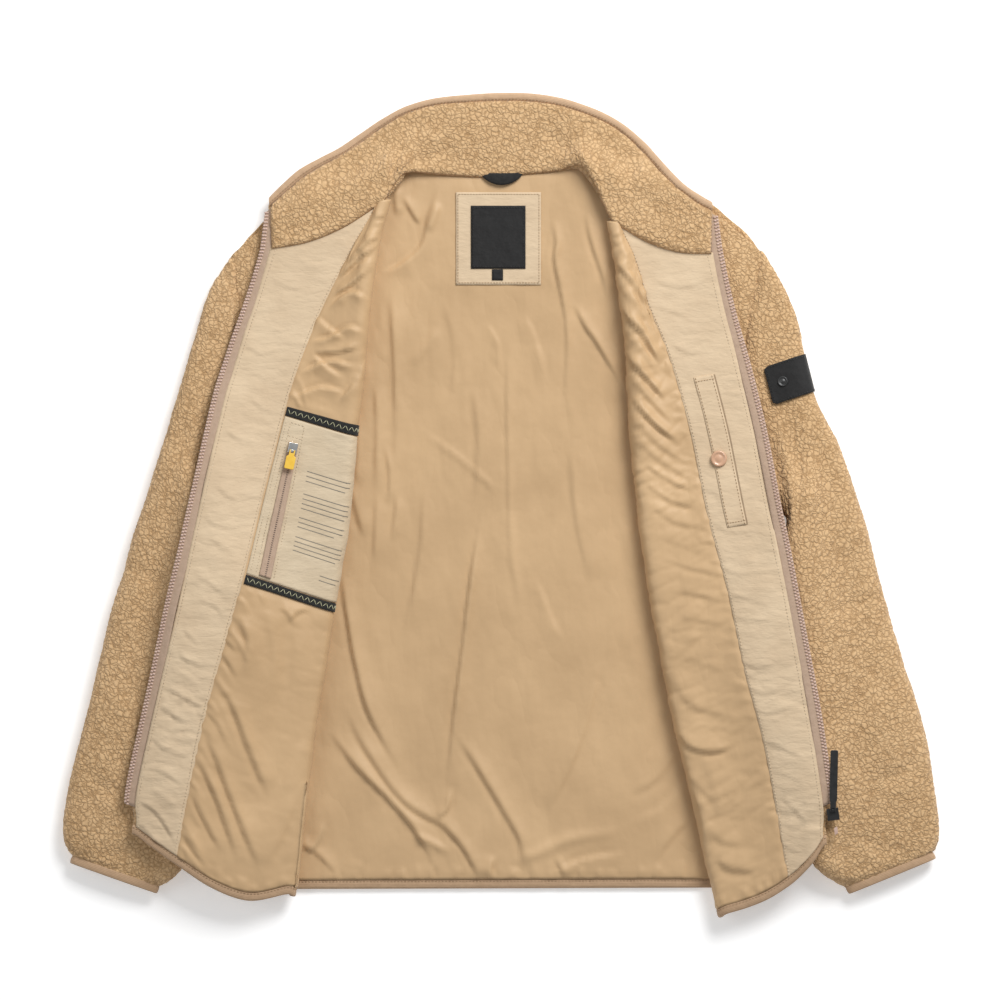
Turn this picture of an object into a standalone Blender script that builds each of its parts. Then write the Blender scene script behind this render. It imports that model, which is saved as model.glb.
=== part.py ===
"""Sherpa-fleece jacket, unzipped and laid open on its back on a flat surface.

The frame has +X to the right and +Y towards the collar, seen from above, with the surface at z = 0 and the origin
under the middle of the whole jacket. Tables and sizes are in millimetres, and meshes are written in metres.

The cloth is built as surfaces: grids of points through short tables, one row of a table for each section of the
garment. A panel is its surface thickened evenly, and whatever lies on a panel is made from the panel's own points,
moved out along its normals.
"""

import math
from dataclasses import dataclass

import bmesh
import bpy
import numpy as np
from mathutils import Matrix, Vector
from mathutils.bvhtree import BVHTree

MM = 0.001

# Cloth thicknesses and the air between neighbours.
FLEECE = 5.0
LINING = 1.0
RIBBON = 0.8
GAP = 0.3
SEAM_GAP = 0.6
PATCH_GAP = 0.85

# Heights of the layers that lie on the surface.
BACK_MID = FLEECE / 2
BACK_LINING_MID = FLEECE + GAP + LINING / 2
UNDER_MID = 10.8
UNDER_EDGE_MID = FLEECE + GAP + FLEECE / 2
UNDER_TOP = UNDER_MID + FLEECE / 2

# Bindings, zip and roll.
BINDING_WIDTH = 9.0
BINDING_THICKNESS = 6.4
TAPE_REACH = 8.6
CHAIN_REACH = 12.4
FLEECE_REACH = 4.0
CHAIN_THICKNESS = 2.6
ROLL_ARC = (45, 0, -45, -90)
COLLAR_BINDING_WIDTH = 8.0
COLLAR_BINDING_THICKNESS = 9.6
COLLAR_SEAM_GAP = 1.4
COLLAR_FLEECE = 4.3

# How a flap and the collar lie over what is under them: air, how far round each point counts, and the sag.
FLAP_CLEAR = 1.2
FLAP_REACH = 17.0
FLAP_SAG = 0.3
COLLAR_CLEAR = 1.2
COLLAR_REACH = 10.0
COLLAR_SAG = 1.2

# Zip hardware, snaps, pocket and badge.
CHAIN_END = {"left": 9.75, "right": 9.66}
PIN_START = 9.78
RETAINER_TOP = 9.93
PIN_THICKNESS = 2.4
BAIL_WIDTH = 2.4
MAIN_PULL_PITCH = -4.0
SNAP_RADIUS = 8.0
SNAP_HEIGHT = 2.2
MAIN_PULL_TURN = -9.0
MAIN_SLIDER_SECTION = 9.79
POCKET_SECTIONS = (5.0, 7.0)
POCKET_TAPE_HALF = 0.056
POCKET_SLOPE = 0.079
POCKET_ZIP_START = 5.36
POCKET_SLIDER_SECTION = 5.42
POCKET_PULL_PITCH = -3.0
WELT_SECTIONS = (3.87, 6.2)
WELT_COLUMNS = (1.23, 2.18)
SNAP_SECTION = 5.35
SNAP_COLUMN = 1.91
HANGER_HALF = 21.0
HANGER_RISE = 5.8
HANGER_SEAM_Y = 327.6
HANGER_EDGE_Y = 324.6
HANGER_DIP = 5.0
BADGE_EDGE = ((340.0, 162.0), (349.0, 125.0))
BADGE_INWARD = (-39.0, -13.0)
BADGE_TOP_STOPS = (42.0, 34.0, 26.0, 18.0, 13.0, 9.0, 6.0, 3.5)
BADGE_SIDE_HEIGHTS = (13.0, 8.5)
BADGE_CLEAR = 1.9
ABOVE_ALL = 500.0
BADGE_SNAP_RADIUS = 5.0
BADGE_SNAP_HEIGHT = 1.4

# The origin of the tables sits this far from the middle of the finished jacket.
CENTRE_SHIFT = np.array([0.0, -2.4706, 0.0])

# Each front, from the collar seam to the hem. Columns: x and y at the zip edge, x and y of the rolled fold,
# the facing's share of the width, x and y at the shoulder tip, armhole and side seam, height of the roll.
FRONT_LEFT = (
    (-229.5, 256, -113.5, 305, 0.90, -269.5, 247, 22),
    (-237.5, 228, -123.5, 270, 0.87, -265.5, 221, 25),
    (-246.5, 198, -130.5, 224, 0.72, -262.5, 192, 27),
    (-256.5, 168, -136.5, 176, 0.61, -259.5, 159, 27),
    (-267.5, 132, -141.5, 119, 0.52, -257.5, 114, 27),
    (-274.5, 109, -147.5, 73, 0.49, -260.5, 64, 26),
    (-293.5, 26, -155.5, -16, 0.43, -269.5, -4, 26),
    (-311.5, -57, -170.5, -103, 0.405, -275.5, -86, 26),
    (-328.5, -136, -180.5, -173, 0.365, -280.5, -176, 27),
    (-347.5, -221, -193.5, -256, 0.325, -288.5, -271, 27),
    (-370.5, -324, -207.5, -383, 0.30, -296.5, -380, 25),
)
FRONT_RIGHT = (
    (209.5, 251, 108.5, 283, 0.90, 261.5, 249, 22),
    (215.5, 220, 114.5, 248, 0.88, 257.5, 222, 25),
    (222.5, 189, 120.5, 206, 0.84, 252.5, 196, 28),
    (230.5, 159, 126.5, 159, 0.72, 246.5, 169, 29),
    (238.5, 128, 128.5, 109, 0.62, 242.5, 129, 29),
    (250.5, 79, 132.5, 54, 0.56, 246.5, 64, 29),
    (266.5, -1, 140.5, -21, 0.525, 268.5, -6, 29),
    (281.5, -81, 152.5, -101, 0.46, 275.5, -86, 29),
    (296.5, -161, 166.5, -178, 0.445, 280.5, -176, 29),
    (309.5, -236, 182.5, -251, 0.395, 288.5, -271, 28),
    (324.5, -334, 217.5, -404, 0.383, 295.5, -378, 25),
)

# Shoulder and neck line of the back, from the left tip to the right tip. Columns: x, y.
BACK_TOP = (
    (-269.5, 247), (-236, 285), (-200, 301), (-161, 316), (-97.5, 336), (-72, 328), (-31, 326), (10, 327),
    (42, 330), (80.5, 340), (140, 320), (176, 310), (210.5, 299), (238.5, 276), (261.5, 249),
)
BACK_HEM_Y = (-380, -378)
NECK_CORNERS = (4, 9)
SHOULDER_INSET = 28.0
LINING_COLUMNS = (0.022, 0.13, *np.linspace(0.235, 0.76, 14), 0.87, 0.978)

# What lies on the back lining below the neck, without the pieces' finishes. Columns: x of both sides, y of top and
# bottom, layer over the lining.
NECK_PIECES = {
    "neck_patch": (-45.5, 39.5, 311.5, 219.0, 0),
    "neck_label": (-30.5, 24.0, 298.0, 235.0, 1),
    "size_tab": (-9.5, 1.5, 234.4, 223.5, 1),
}

# Collar, from the left zip end to the right one. Columns: x and y at the seam, x and y at the bound edge.
COLLAR = (
    (-229.5, 256, -232, 305), (-202.5, 259.5, -202, 333), (-171.5, 270, -162, 355), (-141.5, 284.5, -124, 381),
    (-114.5, 303.5, -97, 396), (-109, 322, -78, 402), (-94, 335, -60, 405.5), (-62, 330.5, -36, 408),
    (-12, 327.8, -4, 410), (28, 331, 29, 409.5), (56, 334, 59, 405), (78, 338, 85, 397), (92, 322, 106, 388),
    (102, 303, 125, 376), (108.5, 283, 144, 359), (129, 269.5, 161, 340), (153.5, 259.5, 180, 320),
    (183.5, 253.5, 197, 308), (209.5, 251, 210.5, 300),
)
COLLAR_SHOULDERS = (4, 14)
COLLAR_SEAM_HEIGHTS = (12.5, 9.0, 2.5, 0.0, 0.0, 2.5, 9.0, 12.5, 14.5)
COLLAR_FLAT_STATIONS = (8, 9)
COLLAR_WIDTH_STOPS = (0.0, 0.2, 0.45, 0.7, 1.0)

# Each sleeve, from the armhole to the cuff. Columns: x and y at the outer edge, x and y at the inner edge,
# how far the section bows towards the body, height of the flattened tube.
SLEEVE_LEFT = (
    (-272.2, 244, -276.5, -5, 13.0, 16),
    (-294.5, 204, -281, -7, 7.0, 19),
    (-317.5, 126, -286, -16, 3.0, 24),
    (-341.5, 49, -276, -52, 0.0, 28),
    (-361.5, -16, -252, -94, 0.0, 30),
    (-383.5, -88, -242.0, -138, 0.0, 30),
    (-404.5, -171, -257.0, -206, 0.0, 30),
    (-422.5, -241, -279.5, -266, 0.0, 30),
    (-434.0, -297, -302.5, -316, 0.0, 28),
    (-436.5, -333, -318.5, -362, 0.0, 25),
    (-429.5, -352, -341.5, -383, 0.0, 21),
)
SLEEVE_RIGHT = (
    (264.6, 246, 274.5, -7, 21.0, 16),
    (291.5, 194, 279, -9, 8.0, 19),
    (311.5, 114, 284, -18, 3.0, 24),
    (338.5, 54, 274, -54, 0.0, 28),
    (358.5, -6, 252, -96, 0.0, 30),
    (380.5, -84, 242.0, -140, 0.0, 30),
    (401.5, -158, 257.0, -206, 0.0, 30),
    (421.5, -224, 279.5, -264, 0.0, 30),
    (432.5, -281, 300.5, -311, 0.0, 28),
    (436.5, -328, 310.5, -357, 0.0, 25),
    (431.5, -348, 343.5, -384, 0.0, 21),
)
HEM_SECTION = 10
BODY_SECTIONS = (0, 1, 2, 3, 4, 5, 5.5, 6, 6.5, 7, 7.5, 8, 8.5, 9, 9.5, HEM_SECTION)
UNDER_SHARES = (0.3, 0.62, 0.9, 1.0)
SLEEVE_SIDES = 16
SLEEVE_SQUARENESS = 2.7
SLEEVE_WALL_SHARE = 0.19
ARMPIT_SECTION = 6
SLEEVE_RINGS = (0, 1, 2, 2.5, 3, 4, 5, 6, 7, 8, 9, 10)
SIDE_RAMP = 66.0
SIDE_NEAR = 28.0
SIDE_CLEAR = 13.5

# The largest folds of the back lining, as soft ridges. Columns: x and y of one end, x and y of the other,
# height, half width.
LINING_FOLDS = (
    (62, 268, 74, 60, 3.0, 17),
    (76, 190, 128, 104, 2.6, 15),
    (-112, 160, -106, -60, 2.8, 18),
    (-20, 40, -34, -180, 2.0, 20),
    (40, -20, 66, -240, 2.4, 18),
    (-160, -236, -76, -372, 3.0, 16),
    (112, -170, 146, -330, 3.0, 17),
    (-60, -290, 40, -352, 2.4, 15),
)
FOLDS_FROM_ROLL = 22.0
FOLDS_FADE = 12.0
FOLDS_HEM_Y = -376.0
FOLDS_NECK_Y = 300.0
FOLDS_NECK_FADE = 30.0


@dataclass(frozen=True)
class Finish:
    """Colour and surface of one material.

    Attributes:
        name: Material name.
        colour: Linear red, green and blue.
        roughness: Principled roughness.
        metallic: Principled metallic value.
    """

    name: str
    colour: tuple
    roughness: float
    metallic: float = 0.0


SHERPA = Finish("sherpa fleece", (0.60, 0.38, 0.18), 0.95)
TAFFETA = Finish("glossy lining", (0.56, 0.38, 0.21), 0.4)
CRINKLE = Finish("crinkled facing", (0.71, 0.55, 0.36), 0.75)
BINDING = Finish("woven binding", (0.55, 0.36, 0.22), 0.6)
TAPE = Finish("zip tape", (0.56, 0.42, 0.32), 0.7)
CHAIN = Finish("moulded zip teeth", (0.75, 0.58, 0.44), 0.45)
BLACK_CLOTH = Finish("black cloth", (0.02, 0.02, 0.02), 0.8)
BLACK_PLASTIC = Finish("black plastic", (0.015, 0.015, 0.015), 0.4)
STEEL = Finish("nickel plate", (0.8, 0.8, 0.8), 0.25, 1.0)
YELLOW = Finish("yellow rubber", (0.9, 0.6, 0.08), 0.45)
PEACH = Finish("enamelled snap", (0.66, 0.42, 0.26), 0.35)


def through(table, at):
    """Reads a smooth curve through the rows of a table.

    Args:
        table: Rows of numbers, one row for each whole step of `at`.
        at: Row positions, whole or between rows.

    Returns:
        An array with one row of values for each position.
    """
    values = np.asarray(table, dtype=float)
    at = np.asarray(at, dtype=float)
    slopes = np.gradient(values, axis=0)
    first = np.clip(np.floor(at).astype(int), 0, len(values) - 2)
    share = (at - first)[:, None]
    start, end = values[first], values[first + 1]
    rise = slopes[first], slopes[first + 1]
    return (
        start * (2 * share**3 - 3 * share**2 + 1)
        + end * (3 * share**2 - 2 * share**3)
        + rise[0] * (share**3 - 2 * share**2 + share)
        + rise[1] * (share**3 - share**2)
    )


def unit(vectors):
    """Vectors scaled to length one."""
    return vectors / np.linalg.norm(vectors, axis=-1, keepdims=True)


def tangents(points, axis):
    """Directions along one axis of a grid, averaged from the steps before and after each point."""
    steps = unit(np.diff(points, axis=axis))
    first = np.take(steps, [0], axis=axis)
    last = np.take(steps, [-1], axis=axis)
    return unit(np.concatenate([first, steps], axis=axis) + np.concatenate([steps, last], axis=axis))


def moved_out(points, distance, side=1):
    """A grid moved along its own normals.

    Args:
        points: Grid of points, rows by columns.
        distance: How far to move, towards the side that faces up.
        side: 1 where columns run towards +X, -1 where they run towards -X.

    Returns:
        The moved grid.
    """
    normals = unit(np.cross(tangents(points, 1), tangents(points, 0))) * -side
    return points + normals * distance


def lay(points, rows, columns):
    """Points of a grid at whole or broken row and column numbers, straight between its own points."""
    rows, columns = np.asarray(rows, float), np.asarray(columns, float)
    low_r = np.clip(np.floor(rows).astype(int), 0, points.shape[0] - 2)
    low_c = np.clip(np.floor(columns).astype(int), 0, points.shape[1] - 2)
    share_r = (rows - low_r)[:, None, None]
    share_c = (columns - low_c)[None, :, None]
    upper = points[low_r][:, low_c] * (1 - share_c) + points[low_r][:, low_c + 1] * share_c
    lower = points[low_r + 1][:, low_c] * (1 - share_c) + points[low_r + 1][:, low_c + 1] * share_c
    return upper * (1 - share_r) + lower * share_r


def stops(start, end):
    """Grid positions from start to end, with every whole grid line between them."""
    return [start, *range(math.floor(start) + 1, math.ceil(end)), end]


def trimmed(points, start, end):
    """A grid whose first and last columns are drawn in by so many millimetres, for a seam or an edge."""
    points = points.copy()
    points[:, 0] += unit(points[:, 1] - points[:, 0]) * start
    points[:, -1] += unit(points[:, -2] - points[:, -1]) * end
    return points


def extended(points, start, width):
    """Two new rows past the last row of a grid, from `start` to `start` + `width` millimetres beyond it."""
    along = unit(points[-1] - points[-2])
    return np.stack([points[-1] + along * start, points[-1] + along * (start + width)])


def material(finish):
    """The Blender material of a finish, made once for each node."""
    made = bpy.data.materials.new(finish.name)
    made.use_nodes = True
    shader = made.node_tree.nodes["Principled BSDF"]
    shader.inputs["Base Color"].default_value = (*finish.colour, 1.0)
    shader.inputs["Roughness"].default_value = finish.roughness
    shader.inputs["Metallic"].default_value = finish.metallic
    made.diffuse_color = (*finish.colour, 1.0)
    return made


def add_object(name, bm, finish):
    """Links a bmesh as an object with its own material."""
    mesh = bpy.data.meshes.new(name)
    bm.to_mesh(mesh)
    bm.free()
    mesh.materials.append(material(finish))
    made = bpy.data.objects.new(name, mesh)
    bpy.context.collection.objects.link(made)
    return made


def cloth(name, points, thickness, finish, closed=False, inward=False):
    """A cloth piece: a grid laid on points, in triangles, and thickened.

    Args:
        name: Node name.
        points: Grid of points in millimetres, rows by columns.
        thickness: Cloth thickness in millimetres.
        finish: The piece's finish.
        closed: Whether the last column lies on the first, as round a tube.
        inward: Whether the points are the outer face rather than the middle of the cloth.

    Returns:
        The object, with a Solidify modifier.
    """
    rows, columns = points.shape[:2]
    bm = bmesh.new()
    bmesh.ops.create_grid(bm, x_segments=columns - 1, y_segments=rows - 1, size=0.5)
    bm.verts.ensure_lookup_table()
    for vert, place in zip(bm.verts, (points + CENTRE_SHIFT).reshape(-1, 3)):
        vert.co = Vector(place * MM)
    bmesh.ops.triangulate(bm, faces=bm.faces[:], quad_method="FIXED")
    if closed:
        bmesh.ops.remove_doubles(bm, verts=bm.verts[:], dist=0.00001)
    made = add_object(name, bm, finish)
    thick = made.modifiers.new("Cloth thickness", "SOLIDIFY")
    thick.thickness = thickness * MM
    thick.offset = -1.0 if inward else 0.0
    return made


def tube(name, outer, inner, finish):
    """A closed solid between two grids of rings, open at both ends.

    Args:
        name: Node name.
        outer: Grid of points, one row for each ring, the last column on the first.
        inner: The same for the inside of the wall.
        finish: The piece's finish.

    Returns:
        The object.
    """
    wall = np.concatenate([outer, inner[::-1], outer[:1]])
    rows, columns = wall.shape[:2]
    bm = bmesh.new()
    bmesh.ops.create_grid(bm, x_segments=columns - 1, y_segments=rows - 1, size=0.5)
    bm.verts.ensure_lookup_table()
    for vert, place in zip(bm.verts, (wall + CENTRE_SHIFT).reshape(-1, 3)):
        vert.co = Vector(place * MM)
    bmesh.ops.triangulate(bm, faces=bm.faces[:], quad_method="FIXED")
    bmesh.ops.remove_doubles(bm, verts=bm.verts[:], dist=0.00001)
    bmesh.ops.recalc_face_normals(bm, faces=bm.faces[:])
    return add_object(name, bm, finish)


class Ground:
    """What a draped layer rests on: objects already built, each with a height added above its top."""

    def __init__(self, lifts):
        """Keeps a ray-casting tree of each object.

        Args:
            lifts: Dictionary from object to the height added above it, in millimetres.
        """
        depsgraph = bpy.context.evaluated_depsgraph_get()
        self.trees = [(BVHTree.FromObject(made, depsgraph), lift) for made, lift in lifts.items()]

    def height(self, x, y):
        """Top of the ground at one place, in millimetres."""
        start = Vector(((x + CENTRE_SHIFT[0]) * MM, (y + CENTRE_SHIFT[1]) * MM, 1.0))
        top = 0.0
        for tree, lift in self.trees:
            hit = tree.ray_cast(start, Vector((0, 0, -1)))[0]
            if hit is not None:
                top = max(top, hit.z / MM + lift)
        return top

    def highest_near(self, x, y, reach):
        """Highest ground within `reach` of a place."""
        places = [(0.0, 0.0)]
        for ring in (0.5, 1.0):
            for step in range(8):
                turn = math.tau * step / 8
                places.append((ring * reach * math.cos(turn), ring * reach * math.sin(turn)))
        return max(self.height(x + dx, y + dy) for dx, dy in places)


def draped(plan, ground, clear, reach, held, sag, rounds=400):
    """Heights of a layer laid over uneven ground.

    The layer takes the mean height of its neighbours, less a little sag, and never goes below the ground.

    Args:
        plan: Grid of x and y, rows by columns.
        ground: What it lies on.
        clear: Height of the layer's middle over the ground.
        reach: How far round each point the ground counts.
        held: Grid of fixed heights, with nan where the layer is free.
        sag: How far a free point drops below the mean of its neighbours.
        rounds: How often the heights are evened out.

    Returns:
        Grid of heights.
    """
    floor = np.array([[ground.highest_near(x, y, reach) + clear for x, y in row] for row in plan[..., :2]])
    fixed = ~np.isnan(held)
    height = np.where(fixed, held, floor)
    for _ in range(rounds):
        padded = np.pad(height, 1, mode="edge")
        mean = (padded[:-2, 1:-1] + padded[2:, 1:-1] + padded[1:-1, :-2] + padded[1:-1, 2:]) / 4
        height = np.where(fixed, held, np.maximum(floor, mean - sag))
    return height


class Front:
    """One front: its flap turned outward, its rolled fold and its part that still lies on the back.

    Columns of the surface, by number: 0 chain edge, 1 tape edge, 2 fleece edge, 3 zip seam, 6 inner edge of the
    facing, 9 top of the roll, 11 the fold's outline, 13 bottom of the roll, 17 side seam.
    """

    CHAIN, TAPE, EDGE, SEAM, FACING, ROLL_TOP, FOLD, ROLL_BOTTOM, SIDE = 0, 1, 2, 3, 6, 9, 11, 13, 17

    def __init__(self, name, table, side, hem_bow, hem_skew, shoulder_bow):
        """Keeps the cut of one front.

        Args:
            name: "left" or "right".
            table: FRONT_LEFT or FRONT_RIGHT.
            side: 1 for the left front, whose columns run towards +X, -1 for the right.
            hem_bow: How far the hem bows down between zip and fold.
            hem_skew: Above 1 the bow lies nearer the fold.
            shoulder_bow: How far the shoulder line rises between neck and tip.
        """
        self.name = name
        self.side = side
        self.hem_bow = hem_bow
        self.hem_skew = hem_skew
        self.shoulder_bow = shoulder_bow
        self.sections = np.array(BODY_SECTIONS, dtype=float)
        self.table = through(table, self.sections)
        self.points = None

    def plan(self):
        """Grid of x and y of the flap's columns, 0 to ROLL_TOP."""
        zip_edge, fold, facing = self.table[:, 0:2], self.table[:, 2:4], self.table[:, 4:5]
        outward = unit(zip_edge - fold)
        radius = (self.table[:, 7:8] - UNDER_MID) / 2
        roll_top = fold + outward * radius
        shares = np.concatenate(
            [facing * 0, facing / 3, facing * 2 / 3, facing, (2 * facing + 1) / 3, (facing + 2) / 3, facing * 0 + 1],
            axis=1,
        )
        across = zip_edge[:, None] + shares[..., None] * (roll_top - zip_edge)[:, None]
        down = np.array([0.0, -1.0])
        hem = self.hem_bow * np.exp(-(((HEM_SECTION - self.sections) / 0.8) ** 2))
        neck = 10.0 * np.exp(-((self.sections / 0.9) ** 2))
        bow = hem[:, None] * np.sin(math.pi * shares**self.hem_skew) + neck[:, None] * np.sin(math.pi * shares)
        across = across + bow[..., None] * down
        past = [zip_edge + outward * reach for reach in (CHAIN_REACH, TAPE_REACH, FLEECE_REACH)]
        return np.concatenate([np.stack(past, axis=1), across], axis=1)

    def build_surface(self, ground):
        """Works out the surface through the middle of the fleece, from the zip round the fold to the side."""
        plan = self.plan()
        count = len(self.sections)
        held = np.full(plan.shape[:2], np.nan)
        held[:, self.ROLL_TOP] = self.table[:, 7]
        height = draped(plan, ground, FLEECE / 2 + FLAP_CLEAR, FLAP_REACH, held, FLAP_SAG)
        flap = np.concatenate([plan, height[..., None]], axis=2)

        under = np.full(count, UNDER_MID)
        roll_top = plan[:, self.ROLL_TOP]
        inward = unit(self.table[:, 2:4] - self.table[:, 0:2])
        radius = (height[:, self.ROLL_TOP] - under) / 2
        reach = np.linalg.norm(self.table[:, 2:4] - roll_top, axis=1)
        arc = []
        for angle in ROLL_ARC:
            turn = math.radians(angle)
            place = roll_top + inward * (reach * math.cos(turn))[:, None]
            arc.append(np.column_stack([place, under + radius * (1 + math.sin(turn))]))

        side = self.table[:, 5:7]
        rise = self.shoulder_bow * np.exp(-((self.sections / 1.1) ** 2))
        lower = []
        for share in UNDER_SHARES:
            place = roll_top + share * (side - roll_top)
            place[:, 1] += rise * math.sin(math.pi * share)
            at_edge = (share == UNDER_SHARES[-1]) & (self.sections < HEM_SECTION)
            at_shoulder = (share > 0.5) & (self.sections == 0)
            level = np.where(at_edge | at_shoulder, UNDER_EDGE_MID, under)
            lower.append(np.column_stack([place, level]))
        self.points = np.concatenate([flap, np.stack(arc + lower, axis=1)], axis=1)

    def layer(self, offset):
        """The surface moved out towards the lining side."""
        return moved_out(self.points, offset, self.side)

    def patch(self, offset, rows, columns):
        """Part of a layer, between whole or broken row and column numbers."""
        return lay(self.layer(offset), rows, columns)

    def seat(self, section, column, offset):
        """A frame on the surface: x towards +X, y up the garment, z out of the cloth.

        Args:
            section: Section number, whole or broken.
            column: Column number, whole or broken.
            offset: Height of the frame's origin over the middle of the fleece.

        Returns:
            A 4 x 4 matrix in metres.
        """
        row = self.row(section)
        layer = self.layer(offset)
        spot = lay(layer, [row - 0.2, row, row + 0.2], [column - 0.2, column, column + 0.2])
        upward = Vector(unit(spot[0, 1] - spot[2, 1]))
        across = Vector(unit(spot[1, 2] - spot[1, 0]) * self.side)
        normal = across.cross(upward).normalized()
        across = upward.cross(normal)
        turned = Matrix((across, upward, normal)).transposed().to_4x4()
        return Matrix.Translation(Vector((spot[1, 1] + CENTRE_SHIFT) * MM)) @ turned

    def row(self, section):
        """Row number of a section, whole or broken."""
        return float(np.interp(section, self.sections, np.arange(len(self.sections))))


def build_back():
    """The fleece back, lying flat, and its lining with the largest folds."""
    left, right = np.array(FRONT_LEFT)[:, 5:7], np.array(FRONT_RIGHT)[:, 5:7]
    top = np.array(BACK_TOP, dtype=float)
    shares = (top[:, 0] - top[0, 0]) / (top[-1, 0] - top[0, 0])

    def panel(sections, columns):
        """Grid of x and y over the back."""
        edge_l, edge_r = through(left, sections), through(right, sections)
        x = edge_l[:, :1] + columns[None, :] * (edge_r[:, :1] - edge_l[:, :1])
        top_y = np.interp(columns, shares, top[:, 1])
        hem_y = np.interp(columns, [0, 1], BACK_HEM_Y)
        fall = 1 - (edge_l[:, 1] - edge_l[-1, 1]) / (edge_l[0, 1] - edge_l[-1, 1])
        return np.stack([x, top_y[None, :] + fall[:, None] * (hem_y - top_y)[None, :]], axis=2)

    outer = panel(np.arange(0.0, HEM_SECTION + 1), shares)
    outer_points = np.concatenate([outer, np.full((*outer.shape[:2], 1), BACK_MID)], axis=2)
    back = cloth("back_outer", outer_points, FLEECE, SHERPA)

    columns = np.array(LINING_COLUMNS)
    neck_start, neck_end = (shares[corner] for corner in NECK_CORNERS)
    lining = panel(np.array(BODY_SECTIONS, dtype=float), columns)
    lining[0, :, 1] -= np.where((columns > neck_start) & (columns < neck_end), SEAM_GAP, SHOULDER_INSET)
    height = BACK_LINING_MID + fold_height(lining)
    cloth("back_lining", np.concatenate([lining, height[..., None]], axis=2), LINING, TAFFETA)
    hem = extended(outer_points, SEAM_GAP, BINDING_WIDTH)
    hem[..., 2] = BINDING_THICKNESS / 2
    cloth("hem_binding_back", hem, BINDING_THICKNESS, BINDING)
    return back


def fold_height(plan):
    """Height of the back lining's folds, fading out under the fronts and at the neck and hem."""
    height = np.zeros(plan.shape[:2])
    for x0, y0, x1, y1, peak, half in LINING_FOLDS:
        start, run = np.array([x0, y0]), np.array([x1 - x0, y1 - y0])
        along = np.clip(((plan - start) @ run) / (run @ run), 0, 1)
        away = np.linalg.norm(plan - (start + along[..., None] * run), axis=2)
        height = np.maximum(height, peak * np.exp(-((away / half) ** 2)) * np.sin(math.pi * (0.15 + 0.7 * along)))
    for table, side in ((FRONT_LEFT, 1), (FRONT_RIGHT, -1)):
        fold = np.array(table)[::-1]
        edge = np.interp(plan[..., 1], fold[:, 3], fold[:, 2])
        height = height * np.clip((side * (plan[..., 0] - edge) - FOLDS_FROM_ROLL) / FOLDS_FADE, 0, 1)
    at_hem = np.clip((plan[..., 1] - FOLDS_HEM_Y) / FOLDS_FADE, 0, 1)
    at_neck = np.clip((FOLDS_NECK_Y - plan[..., 1]) / FOLDS_NECK_FADE, 0, 1)
    return height * at_hem * at_neck


class Sleeve:
    """One sleeve: a flattened tube from the armhole to the cuff, partly lying on the body's side."""

    def __init__(self, name, table, side, side_seam, back):
        """Works out the tube's rings.

        Args:
            name: "left" or "right".
            table: SLEEVE_LEFT or SLEEVE_RIGHT.
            side: 1 for the left sleeve, -1 for the right.
            side_seam: x and y of the body's side below the armpit.
            back: The back panel, which tells where the body lies.
        """
        self.name = name
        body = Ground({back: 0.0})
        sections = through(table, SLEEVE_RINGS)
        walls = np.minimum(FLEECE, SLEEVE_WALL_SHARE * sections[:, -1])
        self.outer, self.inner = (
            np.array([self.ring(row, side, inset, side_seam, body) for row, inset in zip(sections, insets)])
            for insets in (walls * 0, walls)
        )

    def ring(self, row, side, inset, side_seam, body):
        """One ring of the tube's wall, its inner face where `inset` is the wall's thickness."""
        x0, y0, x1, y1, bow, high = row
        outer, inner = np.array([x0, y0]), np.array([x1, y1])
        across = unit(inner - outer)
        ring = []
        for step in range(SLEEVE_SIDES + 1):
            turn = math.tau * step / SLEEVE_SIDES
            sideways = math.copysign(abs(math.cos(turn)) ** (2 / SLEEVE_SQUARENESS), math.cos(turn))
            upward = math.copysign(abs(math.sin(turn)) ** (2 / SLEEVE_SQUARENESS), math.sin(turn))
            share = 0.5 - 0.5 * sideways
            place = outer + share * (inner - outer)
            place[0] += side * bow * math.sin(math.pi * share)
            base = self.rest_height(place, side_seam, body)
            place = place + across * inset * (1 - 2 * share)
            ring.append((*place, base + inset + (high - 2 * inset) * (0.5 + 0.5 * upward)))
        return ring

    @staticmethod
    def rest_height(place, side_seam, body):
        """Height of what the sleeve lies on: the surface, a ramp beside the body, or the body's side."""
        run = np.diff(side_seam, axis=0)
        along = np.clip(((place - side_seam[:-1]) * run).sum(1) / (run * run).sum(1), 0, 1)
        away = np.linalg.norm(place - side_seam[:-1] - along[:, None] * run, axis=1).min()
        on_body = body.height(*place) > 0 and place[1] < side_seam[0, 1] + SIDE_RAMP
        if on_body:
            return SIDE_CLEAR + (UNDER_TOP + 0.6 - SIDE_CLEAR) * min(away / 3, 1)
        ramp = np.clip((SIDE_RAMP - away) / (SIDE_RAMP - SIDE_NEAR), 0, 1)
        return SIDE_CLEAR * ramp * ramp * (3 - 2 * ramp)

    def build(self):
        """The fleece tube and the binding round its cuff."""
        made = tube(f"sleeve_{self.name}", self.outer, self.inner, SHERPA)
        along = np.append(unit((self.outer[-1] - self.outer[-2]).mean(axis=0)[:2]), 0.0)
        ends = [along * SEAM_GAP, along * (SEAM_GAP + BINDING_WIDTH)]
        cuff_outer, cuff_inner = (np.stack([ring + end for end in ends]) for ring in (self.outer[-1], self.inner[-1]))
        tube(f"cuff_binding_{self.name}", cuff_outer, cuff_inner, BINDING)
        return made


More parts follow.
